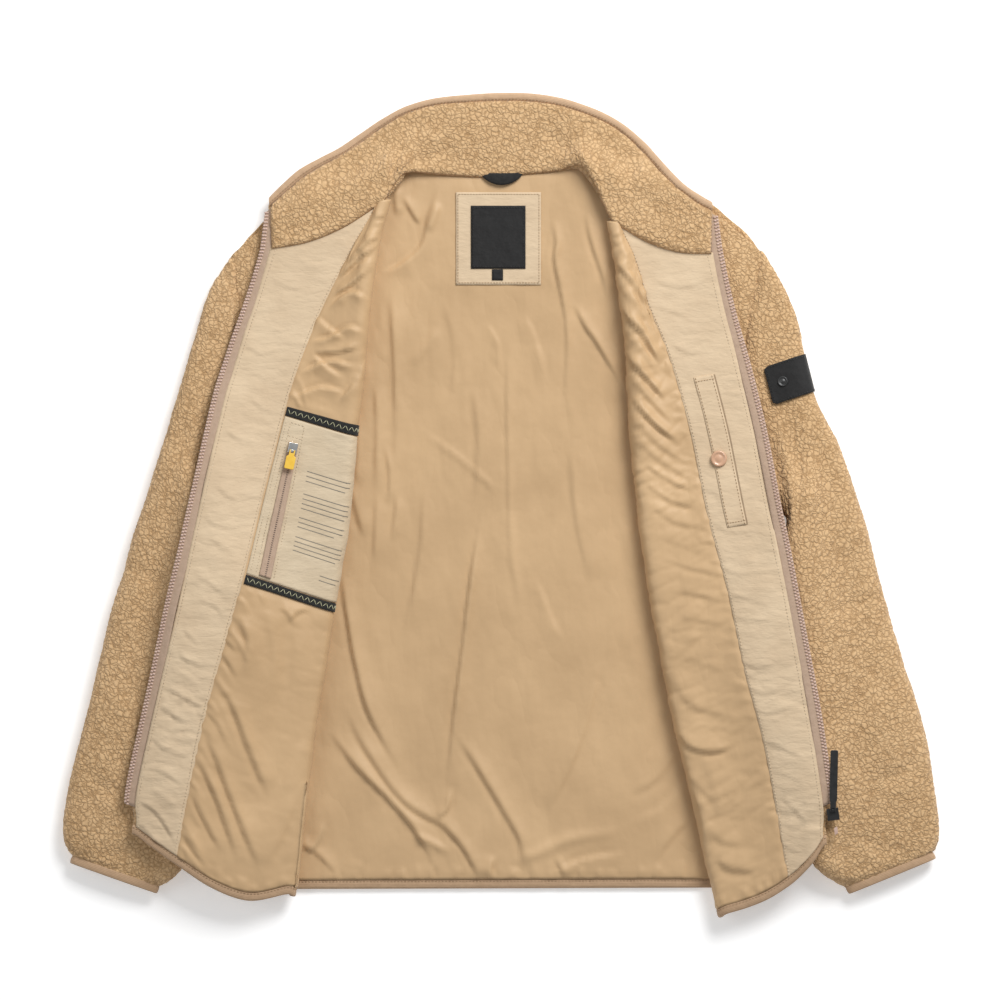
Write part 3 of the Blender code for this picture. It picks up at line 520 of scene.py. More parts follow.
def cloth(
    name: str, points: Grid, side: int = 1, thickness: float = 0.0, closed: bool = False, **values: Grid
) -> Piece:
    """A cloth piece: a grid laid on points.

    Args:
        name: Name of the piece.
        points: Grid of points in millimetres, rows by columns.
        side: 1 where columns run towards +X and rows towards -Y, -1 where columns run towards -X.
        thickness: How thick the cloth is, to the far side of the points, or 0 for none.
        closed: Whether the grid's first and last rows and columns meet where they touch.
        values: Numbers kept at each point, by name.

    Returns:
        The piece, with a UV map in metres over the cloth.
    """
    rows, columns = points.shape[:2]
    bm = bmesh.new()
    bmesh.ops.create_grid(bm, x_segments=columns - 1, y_segments=rows - 1, size=0.5)
    mesh = bpy.data.meshes.new(name)
    bm.to_mesh(mesh)
    bm.free()
    mesh.vertices.foreach_set("co", (points * MM).astype(np.float32).ravel())
    for key, numbers in values.items():
        mesh.attributes.new(key, "FLOAT", "POINT").data.foreach_set("value", numbers.astype(np.float32).ravel())
    corner = np.zeros(len(mesh.loops), dtype=np.int32)
    mesh.loops.foreach_get("vertex_index", corner)
    flat = (lengths(points) * MM).reshape(-1, 2)[corner]
    mesh.uv_layers.new(name="cloth").data.foreach_set("uv", flat.astype(np.float32).ravel())
    bm = bmesh.new()
    bm.from_mesh(mesh)
    bpy.data.meshes.remove(mesh)
    if closed:
        bmesh.ops.remove_doubles(bm, verts=bm.verts[:], dist=0.000002)
        bmesh.ops.recalc_face_normals(bm, faces=bm.faces[:])
    elif side == 1:
        bmesh.ops.reverse_faces(bm, faces=bm.faces[:])
    made = linked(name, bm)
    if thickness:
        wall = made.modifiers.new("Cloth thickness", "SOLIDIFY")
        wall.thickness = thickness * MM
        wall.offset = -1.0
    return made


class Ground:
    """What a layer rests on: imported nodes, each with a height added above its top."""

    def __init__(self, lifts: dict[str, float]) -> None:
        """Keeps a ray-casting tree of each node.

        Args:
            lifts: Height added above each node's top, by the node's name.
        """
        self.trees = []
        for name, lift in lifts.items():
            bm = bmesh.new()
            bm.from_mesh(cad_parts[name].data)
            self.trees.append((BVHTree.FromBMesh(bm), lift))
            bm.free()

    def height(self, x: float, y: float) -> float:
        """Top of the ground at one place.

        Args:
            x: Place to the right.
            y: Place towards the collar.

        Returns:
            The height, 0 where nothing lies.
        """
        top = 0.0
        for tree, lift in self.trees:
            hit = tree.ray_cast(Vector((x * MM, y * MM, 1.0)), Vector((0, 0, -1)))[0]
            if hit is not None:
                top = max(top, hit.z / MM + lift)
        return top

    def highest_near(self, x: float, y: float, reach: float) -> float:
        """Highest ground round a place.

        Args:
            x: Place to the right.
            y: Place towards the collar.
            reach: How far round it counts.

        Returns:
            The height.
        """
        places = [(0.0, 0.0)]
        for ring in (0.5, 1.0):
            for step in range(8):
                turn = math.tau * step / 8
                places.append((ring * reach * math.cos(turn), ring * reach * math.sin(turn)))
        return max(self.height(x + dx, y + dy) for dx, dy in places)

    def draped(self, plan: Grid, clear: float, reach: float, held: Grid, sag: float, rounds: int = 400) -> Grid:
        """Heights of a layer laid over this ground.

        Args:
            plan: Grid of x and y.
            clear: Height of the layer's middle over the ground.
            reach: How far round each point the ground counts.
            held: Grid of fixed heights, with nan where the layer is free.
            sag: How far a free point drops below the mean of its neighbours.
            rounds: How often the heights are evened out.

        Returns:
            Grid of heights.
        """
        floor = np.array([[self.highest_near(x, y, reach) + clear for x, y in row] for row in plan[..., :2]])
        fixed = ~np.isnan(held)
        height = np.where(fixed, held, floor)
        for _ in range(rounds):
            edge = np.pad(height, 1, mode="edge")
            mean = (edge[:-2, 1:-1] + edge[2:, 1:-1] + edge[1:-1, :-2] + edge[1:-1, 2:]) / 4
            height = np.where(fixed, held, np.maximum(floor, mean - sag))
        return height


# --- Finishes ---


class Recipe:
    """The nodes of one material, under a Principled shader."""

    def __init__(self, name: str, **sockets: float) -> None:
        """Starts the material.

        Args:
            name: Material name.
            sockets: Numbers for the shader's own sockets, by socket name with _ for a space.
        """
        self.material = bpy.data.materials.new(name)
        self.material.use_nodes = True
        self.tree = self.material.node_tree
        self.shader = self.tree.nodes["Principled BSDF"]
        self.relief: Socket | None = None
        for socket, value in sockets.items():
            self.shader.inputs[socket.replace("_", " ")].default_value = value

    def add(self, kind: str, inputs: dict[str | int, object] | None = None, **settings: object) -> Node:
        """One node, with values or links for its inputs.

        Args:
            kind: Kind of node.
            inputs: Values or links, by the input's name or number.
            settings: The node's own settings.

        Returns:
            The node.
        """
        node = self.tree.nodes.new(f"ShaderNode{kind}")
        for key, value in settings.items():
            setattr(node, key, value)
        for key, value in (inputs or {}).items():
            if isinstance(value, bpy.types.NodeSocket):
                self.tree.links.new(value, node.inputs[key])
            else:
                node.inputs[key].default_value = value
        return node

    def place(self, stretch: tuple[float, float, float] = (1, 1, 1), own_map: bool = False) -> Socket:
        """Coordinates for a pattern: the piece's own place, or its UV map, drawn out along each axis."""
        source = self.add("TexCoord").outputs["UV" if own_map else "Object"]
        return self.add("Mapping", {"Vector": source, "Scale": stretch}).outputs["Vector"]

    def noise(self, where: Socket, scale: float, detail: float = 2.0, rough: float = 0.5) -> Socket:
        """Soft noise from about 0 to 1."""
        inputs = {"Vector": where, "Scale": scale, "Detail": detail, "Roughness": rough}
        return self.add("TexNoise", inputs).outputs["Fac"]

    def ramp(self, factor: Socket, *stops: tuple[float, Colour]) -> Socket:
        """Colours along a factor.

        Args:
            factor: What is coloured.
            stops: Places along the factor, each with its colour.

        Returns:
            The colour.
        """
        node = self.add("ValToRGB", {"Fac": factor})
        while len(node.color_ramp.elements) < len(stops):
            node.color_ramp.elements.new(1.0)
        for element, (place, colour) in zip(node.color_ramp.elements, stops):
            element.position = place
            element.color = (*colour, 1.0)
        return node.outputs["Color"]

    def weave(self, threads: float) -> Socket:
        """Plain weave, with so many threads to each metre of the piece's own map."""
        own = self.place((threads, threads, 1), own_map=True)
        return self.add("TexChecker", {"Vector": own, "Scale": 1.0}).outputs["Fac"]

    def maths(self, operation: str, first: Socket | float, second: Socket | float) -> Socket:
        """One sum on two numbers."""
        return self.add("Math", {0: first, 1: second}, operation=operation).outputs["Value"]

    def tinted(self, colour: Socket, shade: Socket) -> Socket:
        """A colour multiplied by another."""
        return self.add("Mix", {6: colour, 7: shade, 0: 1.0}, data_type="RGBA", blend_type="MULTIPLY").outputs[2]

    def bump(self, height: Socket, strength: float, distance: float) -> None:
        """Lays small relief on what is there already.

        Args:
            height: The relief.
            strength: Its share, from 0 to 1.
            distance: Its depth in millimetres.
        """
        inputs = {"Height": height, "Strength": strength, "Distance": distance * MM}
        if self.relief is not None:
            inputs["Normal"] = self.relief
        self.relief = self.add("Bump", inputs).outputs["Normal"]

    def done(self, colour: Socket) -> bpy.types.Material:
        """Joins the colour and the relief to the shader.

        Args:
            colour: Colour of the whole surface.

        Returns:
            The finished material.
        """
        self.tree.links.new(colour, self.shader.inputs["Base Color"])
        if self.relief is not None:
            self.tree.links.new(self.relief, self.shader.inputs["Normal"])
        return self.material


@dataclass(frozen=True)
class Sherpa:
    """Curly fleece: small tufts parted by soft crevices, frizzy all over, with painted shade in the crevices."""

    # The crevice colour is painted shade; the colour runs from it up to the paler crowns of the tufts.
    crevice: Colour = (0.50, 0.305, 0.145)
    flank: Colour = (0.655, 0.425, 0.22)
    crown: Colour = (0.76, 0.515, 0.28)

    def make(self) -> bpy.types.Material:
        """The material.

        Returns:
            The finished material.
        """
        recipe = Recipe("sherpa fleece", Roughness=0.95, Sheen_Weight=0.2, Sheen_Roughness=0.6, Specular_IOR_Level=0.12)
        where = recipe.place()
        pile = recipe.add("Attribute", attribute_name="pile").outputs["Fac"]
        sway = recipe.add("TexNoise", {"Vector": where, "Scale": 150.0, "Detail": 2.0}).outputs["Color"]
        pushed = recipe.add("VectorMath", {0: sway, 1: (0.5, 0.5, 0.5)}, operation="SUBTRACT").outputs[0]
        bent = recipe.add("VectorMath", {0: pushed, "Scale": 0.0085}, operation="SCALE").outputs[0]
        curled = recipe.add("VectorMath", {0: where, 1: bent}, operation="ADD").outputs[0]
        cells = {"Vector": curled, "Scale": 1000 / 4.5}
        edge = recipe.add("TexVoronoi", cells, feature="DISTANCE_TO_EDGE").outputs["Distance"]
        spread = recipe.add("TexVoronoi", cells, feature="F1").outputs["Distance"]
        flat = recipe.maths("POWER", recipe.maths("MINIMUM", recipe.maths("MULTIPLY", edge, 4.2), 1.0), 0.7)
        outer = recipe.maths("MAXIMUM", recipe.maths("SUBTRACT", spread, 0.35), 0.0)
        tuft = recipe.maths("SUBTRACT", flat, recipe.maths("MULTIPLY", outer, 0.9))
        frizz = recipe.noise(where, 620.0, 3.0, 0.65)
        joined = recipe.maths("MULTIPLY", recipe.noise(where, 70.0, 2.0), 0.5)
        level = recipe.maths("ADD", recipe.maths("MULTIPLY", tuft, 0.5), recipe.maths("MULTIPLY", pile, 0.24))
        level = recipe.maths("ADD", level, recipe.maths("MULTIPLY", recipe.maths("SUBTRACT", frizz, 0.5), 0.16))
        mixed = recipe.maths("ADD", level, recipe.maths("SUBTRACT", joined, 0.18))
        # Painted shade: the colour darkens where the pile is low and at the edges of the tufts.
        colour = recipe.ramp(mixed, (0.05, self.crevice), (0.45, self.flank), (0.9, self.crown))
        drift = recipe.noise(where, 16.0, 2.0)
        shade = recipe.ramp(drift, (0.3, (0.94, 0.93, 0.91)), (0.7, (1.0, 1.0, 1.0)))
        recipe.bump(tuft, 0.55, 1.5)
        recipe.bump(frizz, 0.25, 0.5)
        return recipe.done(recipe.tinted(colour, shade))


@dataclass(frozen=True)
class Taffeta:
    """Glossy tan lining: close plain weave, softly crinkled."""

    low: Colour = (0.55, 0.365, 0.195)
    high: Colour = (0.64, 0.432, 0.236)

    def make(self) -> bpy.types.Material:
        """The material.

        Returns:
            The finished material.
        """
        recipe = Recipe("glossy lining", Roughness=0.52, Sheen_Weight=0.05, Specular_IOR_Level=0.34)
        where = recipe.place()
        colour = recipe.ramp(recipe.noise(where, 11.0, 3.0), (0.3, self.low), (0.7, self.high))
        thread = recipe.weave(1600)
        creased = recipe.maths("SUBTRACT", recipe.noise(recipe.place((1.5, 0.7, 1.0)), 13.0, 3.0, 0.5), 0.5)
        recipe.bump(recipe.maths("ABSOLUTE", creased, 0.0), 0.3, 14.0)
        recipe.bump(recipe.noise(where, 30.0, 3.0, 0.55), 0.3, 3.0)
        recipe.bump(recipe.noise(recipe.place((1.0, 0.45, 1.0)), 110.0, 2.0), 0.2, 0.9)
        recipe.bump(thread, 0.06, 0.1)
        return recipe.done(colour)


@dataclass(frozen=True)
class Crinkle:
    """Pale matt facing with small crinkles."""

    low: Colour = (0.64, 0.485, 0.32)
    high: Colour = (0.72, 0.56, 0.378)

    def make(self) -> bpy.types.Material:
        """The material.

        Returns:
            The finished material.
        """
        recipe = Recipe("crinkled facing", Roughness=0.72, Sheen_Weight=0.1, Specular_IOR_Level=0.25)
        where = recipe.place()
        colour = recipe.ramp(recipe.noise(where, 22.0, 4.0, 0.6), (0.3, self.low), (0.7, self.high))
        thread = recipe.weave(1300)
        creased = recipe.maths("SUBTRACT", recipe.noise(recipe.place((0.6, 1.5, 1.0)), 26.0, 4.0, 0.6), 0.5)
        recipe.bump(recipe.maths("ABSOLUTE", creased, 0.0), 0.45, 7.0)
        recipe.bump(recipe.noise(recipe.place((0.7, 1.3, 1.0)), 70.0, 4.0, 0.6), 0.35, 2.0)
        recipe.bump(recipe.noise(recipe.place((0.5, 1.6, 1.0)), 170.0, 2.0), 0.2, 0.6)
        recipe.bump(thread, 0.1, 0.1)
        return recipe.done(colour)


@dataclass(frozen=True)
class Ribbed:
    """Woven tape whose ribs lie across it.

    Attributes:
        name: Material name.
        low: Colour between the ribs.
        high: Colour on the ribs.
        rib: Distance between ribs.
        lengthwise: Whether the ribs are counted along the map's second axis.
        roughness: How matt it is.
    """

    name: str
    low: Colour
    high: Colour
    rib: float = 1.3
    lengthwise: bool = True
    roughness: float = 0.75

    def make(self) -> bpy.types.Material:
        """The material.

        Returns:
            The finished material.
        """
        recipe = Recipe(self.name, Roughness=self.roughness, Sheen_Weight=0.12, Specular_IOR_Level=0.25)
        own = recipe.place(own_map=True)
        wave = recipe.add(
            "TexWave",
            {"Vector": own, "Scale": 0.314 / (self.rib * MM), "Distortion": 1.2, "Detail": 2.0, "Detail Scale": 40.0},
            bands_direction="Y" if self.lengthwise else "X",
        ).outputs["Fac"]
        speckle = recipe.noise(recipe.place(), 260.0, 3.0, 0.6)
        mixed = recipe.maths("ADD", recipe.maths("MULTIPLY", wave, 0.45), recipe.maths("MULTIPLY", speckle, 0.55))
        recipe.bump(wave, 0.35, 0.35)
        recipe.bump(recipe.noise(recipe.place(), 90.0, 3.0), 0.6, 2.0)
        return recipe.done(recipe.ramp(mixed, (0.25, self.low), (0.75, self.high)))


@dataclass(frozen=True)
class Moulded:
    """Plastic, rubber, enamel or plated metal with a faint grain.

    Attributes:
        name: Material name.
        low: Darker of its two tones.
        high: Paler of its two tones.
        roughness: How matt it is.
        metallic: 1 for plated metal.
        grain: Depth of its grain.
        coat: Clear coat over it.
    """

    name: str
    low: Colour
    high: Colour
    roughness: float
    metallic: float = 0.0
    grain: float = 0.15
    coat: float = 0.0

    def make(self) -> bpy.types.Material:
        """The material.

        Returns:
            The finished material.
        """
        recipe = Recipe(self.name, Roughness=self.roughness, Metallic=self.metallic, Coat_Weight=self.coat)
        where = recipe.place()
        grain = recipe.noise(where, 700.0, 2.0)
        recipe.bump(grain, self.grain, 0.15)
        return recipe.done(recipe.ramp(recipe.noise(where, 150.0, 3.0), (0.3, self.low), (0.7, self.high)))


SHERPA = Sherpa()
TAFFETA = Taffeta()
CRINKLE = Crinkle()
BINDING = Ribbed("woven binding", (0.42, 0.275, 0.165), (0.53, 0.355, 0.22), 1.5)
# Painted light: the collar's binding is the same tape, with its colours made brighter.
LIT_COLLAR_BINDING = Ribbed("binding painted lighter", (0.50, 0.33, 0.20), (0.62, 0.42, 0.265), 1.5)
TAPE = Ribbed("zip tape", (0.44, 0.305, 0.215), (0.55, 0.40, 0.295), 0.9)
BLACK_TAPE = Ribbed("black cloth", (0.010, 0.010, 0.010), (0.035, 0.034, 0.032), 1.0, roughness=0.85)
SATIN = Ribbed("black label satin", (0.010, 0.010, 0.010), (0.022, 0.021, 0.021), 0.7, roughness=0.6)
CHAIN = Moulded("zip teeth", (0.55, 0.38, 0.31), (0.68, 0.50, 0.42), 0.4)
BLACK = Moulded("black plastic", (0.008, 0.008, 0.008), (0.022, 0.022, 0.022), 0.38)
STEEL = Moulded("nickel plate", (0.62, 0.62, 0.61), (0.82, 0.82, 0.80), 0.24, 1.0, 0.05)
YELLOW = Moulded("yellow rubber", (0.86, 0.52, 0.05), (0.95, 0.62, 0.09), 0.45)
PEACH = Moulded("enamelled snap", (0.58, 0.34, 0.21), (0.68, 0.42, 0.27), 0.32, coat=0.3)
TAN_THREAD = Moulded("tan thread", (0.30, 0.19, 0.10), (0.42, 0.28, 0.16), 0.8)
PALE_THREAD = Moulded("pale thread", (0.60, 0.48, 0.33), (0.74, 0.62, 0.46), 0.75)
DARK_THREAD = Moulded("dark zip coil", (0.16, 0.11, 0.09), (0.24, 0.17, 0.14), 0.6)
LIME_THREAD = Moulded("light thread", (0.50, 0.50, 0.30), (0.70, 0.68, 0.46), 0.7)
DARK_METAL = Moulded("dark snap metal", (0.05, 0.05, 0.05), (0.10, 0.10, 0.10), 0.4, 0.7)

Finish = Sherpa | Taffeta | Crinkle | Ribbed | Moulded
MADE: dict[Finish, bpy.types.Material] = {}


def dressed(piece: Piece, finish: Finish, slot: str, body: str = "jacket", replaces: tuple[str, ...] = ()) -> None:
    """Gives a piece its finish and the body it rides on, hides the nodes it stands for and logs its slot.

    Args:
        piece: The piece.
        finish: Its finish.
        slot: Its slot.
        body: Body that it rides on.
        replaces: Nodes that it stands for.
    """
    if finish not in MADE:
        MADE[finish] = finish.make()
    piece.data.materials.clear()
    piece.data.materials.append(MADE[finish])
    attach(piece, body)
    if replaces:
        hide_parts(*replaces)
    bpy.context.view_layer.update()
    finished = piece.evaluated_get(bpy.context.evaluated_depsgraph_get())
    count = sum(len(face.vertices) - 2 for face in finished.data.polygons)
    logging.info("%s: %d triangles, %s", piece.name, count, slot)


def sewn(
    node: str, points: Grid, side: int, thickness: float, finish: Finish, slot: str,
) -> None:
    """A cloth piece that stands for one node.

    Args:
        node: The node.
        points: Grid of points, as `cloth` takes it.
        side: Which way its columns run.
        thickness: How thick it is.
        finish: Its finish.
        slot: Its slot.
    """
    piece = cloth(f"{node}_cloth", points, side, thickness)
    dressed(piece, finish, slot, replaces=(node,))


# --- Small repeated shapes ---


def frames(line: Grid, across: Grid, pitch: float, sizes: tuple[float, float, float], shift: float = 0.5) -> Grid:
    """Frames along a line, one for each small shape.

    Args:
        line: Points of the line, in millimetres.
        across: Direction across the line at each point.
        pitch: Distance between two shapes.
        sizes: Sizes of a shape along the line, across it and upward.
        shift: Where the first shape stands, in pitches.

    Returns:
        Array of 4 x 4 matrices.
    """
    run = np.concatenate([[0], np.cumsum(np.linalg.norm(np.diff(line, axis=0), axis=1))])
    count = max(int(run[-1] / pitch), 1)
    at = (np.arange(count) + shift) * run[-1] / count

    def read(values: Grid, stops: Grid) -> Grid:
        """Values of the line's points, straight between them."""
        return np.stack([np.interp(stops, run, values[:, axis]) for axis in range(3)], axis=1)

    over = unit(read(across, at))
    along = unit(read(line, at + 0.5) - read(line, at - 0.5))
    over = unit(over - along * (over * along).sum(1)[:, None])
    made = np.zeros((count, 4, 4))
    made[:, 3, 3] = 1
    for axis, (direction, size) in enumerate(zip((along, over, np.cross(along, over)), sizes)):
        made[:, :3, axis] = direction * size
    made[:, :3, 3] = read(line, at)
    return made


def scattered(name: str, shape: bmesh.types.BMesh, places: Grid) -> Piece:
    """Copies of one small shape, one for each frame, as one piece.

    Args:
        name: Name of the piece.
        shape: The small shape, which is freed.
        places: Frames, as 4 x 4 matrices.

    Returns:
        The piece.
    """
    corners = np.array([(*corner.co, 1.0) for corner in shape.verts])
    faces = [[corner.index for corner in face.verts] for face in shape.faces]
    shape.free()
    placed = np.einsum("nij,vj->nvi", places, corners)[..., :3].reshape(-1, 3) * MM
    many = [[turn * len(corners) + corner for corner in face] for turn in range(len(places)) for face in faces]
    mesh = bpy.data.meshes.new(name)
    mesh.from_pydata(placed, [], many)
    bm = bmesh.new()
    bm.from_mesh(mesh)
    bpy.data.meshes.remove(mesh)
    bmesh.ops.recalc_face_normals(bm, faces=bm.faces[:])
    return linked(name, bm)


@dataclass
class Thread:
    """Stitches of one colour over the whole jacket.

    Attributes:
        name: Name of the piece.
        finish: Finish of the thread.
        slot: Slot that it goes with.
        length: Length of one stitch.
        width: Its width.
        places: Frames of the stitches made so far.
    """

    name: str
    finish: Finish
    slot: str
    length: float = 2.5
    width: float = 0.75
    places: list[Grid] = field(default_factory=list)

    def run(self, line: Grid, across: Grid, pitch: float = 3.4) -> None:
        """A run of stitches along a line, with the direction across it at each point."""
        sizes = (self.length / 2, self.width / 2, 0.3)
        self.places.append(frames(np.asarray(line), np.asarray(across), pitch, sizes))

    def zigzag(self, line: Grid, across: Grid, pitch: float, reach: float) -> None:
        """A zigzag of stitches to both sides of a line.

        Args:
            line: Points of the line.
            across: Direction across it at each point.
            pitch: Distance between two turns.
            reach: How far it swings to each side.
        """
        turns = frames(line, across, pitch, (1, 1, 1))
        peaks = turns[:, :3, 3] + turns[:, :3, 1] * (reach * (-1.0) ** np.arange(len(turns)))[:, None]
        for first, last in zip(peaks[:-1], peaks[1:]):
            long = float(np.linalg.norm(last - first))
            middle = np.stack([first, last])
            up = np.cross(unit(last - first), (0, 0, 1.0))
            self.places.append(frames(middle, np.stack([up, up]), long, (long / 2, self.width / 2, 0.35)))

    def build(self) -> None:
        """Builds the piece that holds every stitch."""
        stitch = bmesh.new()
        bmesh.ops.create_icosphere(stitch, subdivisions=1, radius=1.0)
        dressed(scattered(self.name, stitch, np.concatenate(self.places)), self.finish, self.slot)


# --- Fronts ---

# Each front, from the collar seam to the hem. Columns: x and y at the zip edge, x and y of the rolled fold,
# the facing's share of the width, x and y at the shoulder tip, armhole and side seam, height of the roll.
FRONT_LEFT = placed((
    (-229.5, 256, -113.5, 305, 0.975, -269.5, 247, 22),
    (-237.5, 228, -123.5, 270, 0.87, -265.5, 221, 25),
    (-246.5, 198, -130.5, 224, 0.72, -262.5, 192, 27),
    (-256.5, 168, -136.5, 176, 0.61, -259.5, 159, 27),
    (-267.5, 132, -141.5, 119, 0.52, -257.5, 114, 27),
    (-274.5, 109, -147.5, 73, 0.49, -260.5, 64, 26),
    (-293.5, 26, -155.5, -16, 0.43, -269.5, -4, 26),
    (-311.5, -57, -170.5, -103, 0.405, -275.5, -86, 26),
    (-328.5, -136, -180.5, -173, 0.365, -280.5, -176, 27),
    (-347.5, -221, -193.5, -256, 0.325, -288.5, -271, 27),
    (-370.5, -324, -207.5, -383, 0.30, -288.5, -364, 25),
), 1, 3, 6)
FRONT_RIGHT = placed((
    (209.5, 251, 108.5, 283, 0.98, 261.5, 249, 22),
    (215.5, 220, 114.5, 248, 0.88, 257.5, 222, 25),
    (222.5, 189, 120.5, 206, 0.84, 252.5, 196, 28),
    (230.5, 159, 126.5, 159, 0.72, 246.5, 169, 29),
    (238.5, 128, 128.5, 109, 0.62, 242.5, 129, 29),
    (250.5, 79, 132.5, 54, 0.56, 246.5, 64, 29),
    (266.5, -1, 140.5, -21, 0.525, 268.5, -6, 29),
    (281.5, -81, 152.5, -101, 0.46, 275.5, -86, 29),
    (296.5, -161, 166.5, -178, 0.445, 280.5, -176, 29),
    (309.5, -236, 182.5, -251, 0.395, 288.5, -271, 28),
    (324.5, -334, 217.5, -404, 0.383, 287.5, -362, 25),
), 1, 3, 6)

L, R, N = Hollow.LEFT, Hollow.RIGHT, Hollow.NONE

# Folds of the left front's lining and facing, then those of the right front. Each row: height,
# half width, steep side, then x and y of each point.
LINING_FOLDS_LEFT = folded(
    (3.5, 2.2, L, -123, 270, -138, 252, -153, 236),
    (3.8, 2.2, L, -125, 257, -144, 240, -164, 222),
    (3.8, 2.3, L, -129, 236, -148, 218, -170, 205),
    (3.5, 2.5, R, -133, 200, -150, 208, -173, 192),
    (3.8, 2.5, R, -137, 166, -152, 173, -172, 162, -193, 159),
    (3.2, 2.5, L, -139, 156, -162, 150, -195, 148),
    (3.5, 2.5, R, -144, 133, -171, 139, -203, 126),
    (2.9, 2.5, R, -154, 108, -181, 113, -208, 102),
    (3.2, 2.3, R, -136, 145, -147, 118, -163, 98),
    (2.3, 2.7, L, -188, 186, -172, 172, -154, 160),
    (2.6, 2.7, L, -192, 150, -176, 134, -158, 122),
    (2.2, 3.2, R, -262, -110, -252, -140, -258, -180),
    (3.4, 3.6, R, -280.6, -176, -264.8, -207, -254, -237, -240, -272, -228, -300),
    (3.6, 3.6, R, -294.5, -228, -282.6, -256, -268, -296, -254, -331.5, -238, -372),
    (3.2, 3.0, R, -302, -256, -286.5, -286.4, -274, -320, -260, -364),
    (2.8, 3.0, R, -308.5, -284.5, -296, -314, -276, -352),
    (2.0, 3.0, R, -316.5, -324, -306.5, -346, -292, -364),
    (1.6, 6.0, R, -196, -232, -207, -262, -222, -300),
    (1.6, 6.0, L, -206, -290, -218, -326, -240, -368),
    (1.5, 7.0, R, -236, -104, -226, -140, -228, -190),
    (1.5, 8.0, R, -205, -112, -204, -160, -212, -225),
    (2.0, 3.0, L, -190, -106, -204, -110, -216, -122),
    (1.8, 3.0, R, -222, -104, -212, -112, -206, -126),
)
FACING_FOLDS_LEFT = folded(
    (0.8, 2.1, R, -236, 226, -214, 214, -196, 212),
    (0.7, 2.4, L, -206, 246, -186, 236, -170, 240),
    (0.8, 2.1, R, -262, 160, -240, 148, -222, 150),
    (0.7, 2.4, R, -254, 110, -238, 92, -226, 88),
    (0.8, 1.9, R, -278, 76, -262, 62, -240, 60),
    (1.0, 2.1, R, -288, 20, -270, 4, -262, 2),
    (0.8, 1.9, R, -296, -10, -284, -24, -262, -26),
    (1.0, 2.1, R, -292, -34, -276, -46, -268, -44),
    (1.0, 1.9, R, -306, -74, -292, -80, -274, -92),
    (1.1, 1.9, R, -301.5, -98.5, -288, -102, -276.5, -112),
    (1.1, 1.9, R, -316.5, -124, -310, -134, -300, -142),
    (1.3, 2.1, R, -322, -148, -312, -158, -294, -164),
    (1.0, 1.9, L, -330, -164, -316, -170, -296, -184),
    (1.4, 2.1, R, -336, -183.5, -316, -194, -290.5, -209),
    (1.2, 2.1, R, -342, -205, -330, -210, -306, -225),
    (1.3, 2.1, R, -350, -235, -332, -247, -305, -256),
    (1.2, 2.1, R, -356, -264.5, -338, -268, -313, -284),
    (1.0, 1.9, L, -352, -284, -334, -292, -320, -304),
    (1.6, 2.2, R, -363.7, -296, -342, -310, -320, -346),
    (1.1, 2.1, R, -366, -316, -350, -330, -336, -350),
)
LINING_FOLDS_RIGHT = folded(
    (1.1, 3.4, R, 112, 262, 124, 246, 138, 218),
    (3.8, 2.8, R, 114, 240, 128, 222, 146, 192),
    (1.6, 3.5, R, 116, 218, 134, 196, 154, 164),
    (5.6, 2.8, R, 118, 196, 138, 170, 160, 136),
    (1.2, 3.4, R, 121, 172, 140, 150, 162, 118),
    (4.7, 2.8, R, 123, 150, 142, 126, 166, 100),
    (2.3, 3.5, R, 126, 130, 148, 102, 174, 76),
    (4.4, 2.8, R, 128, 108, 150, 80, 179, 58),
    (1.8, 3.5, R, 130, 86, 156, 58, 187, 38),
    (1.6, 3.5, R, 132, 64, 160, 40, 192, 22),
    (2.0, 2.8, R, 136, 44, 166, 22, 196, 10),
    (1.9, 3.5, R, 140, 22, 168, 2, 200, -6),
    (1.1, 3.0, R, 144, 0, 174, -20, 206, -26),
    (0.5, 3.5, R, 150, -30, 182, -44, 210, -53.5),
    (1.0, 2.8, R, 160, -56, 190, -66, 213, -70),
    (0.5, 3.5, L, 166, -70, 194, -76, 216, -79),
    (1.1, 3.0, R, 166, -88, 196, -92, 219, -98),
    (0.7, 3.8, R, 168, -112, 200, -118, 224, -122),
    (0.5, 4.8, R, 158, -124, 180.5, -135.5, 206, -134),
    (0.7, 5.7, R, 166, -148, 202, -160, 228.5, -170),
    (1.3, 6.0, R, 168, -166, 190, -200, 237.5, -214),
    (3.3, 3.6, R, 176, -226, 188, -243, 210.5, -248, 235.3, -240),
    (1.6, 4.5, R, 187, -268, 198, -284.5, 218, -300),
    (3.1, 3.8, R, 192, -284, 200, -312, 204, -344),
    (1.5, 4.8, R, 204, -324, 222, -338, 242, -338),
    (2.5, 4.8, R, 212, -352, 232, -366, 256, -364),
    (1.4, 8.2, R, 202, -250, 214, -286, 222, -330),
    (0.3, 8.2, R, 178, -30, 184, -90, 196, -150),
)
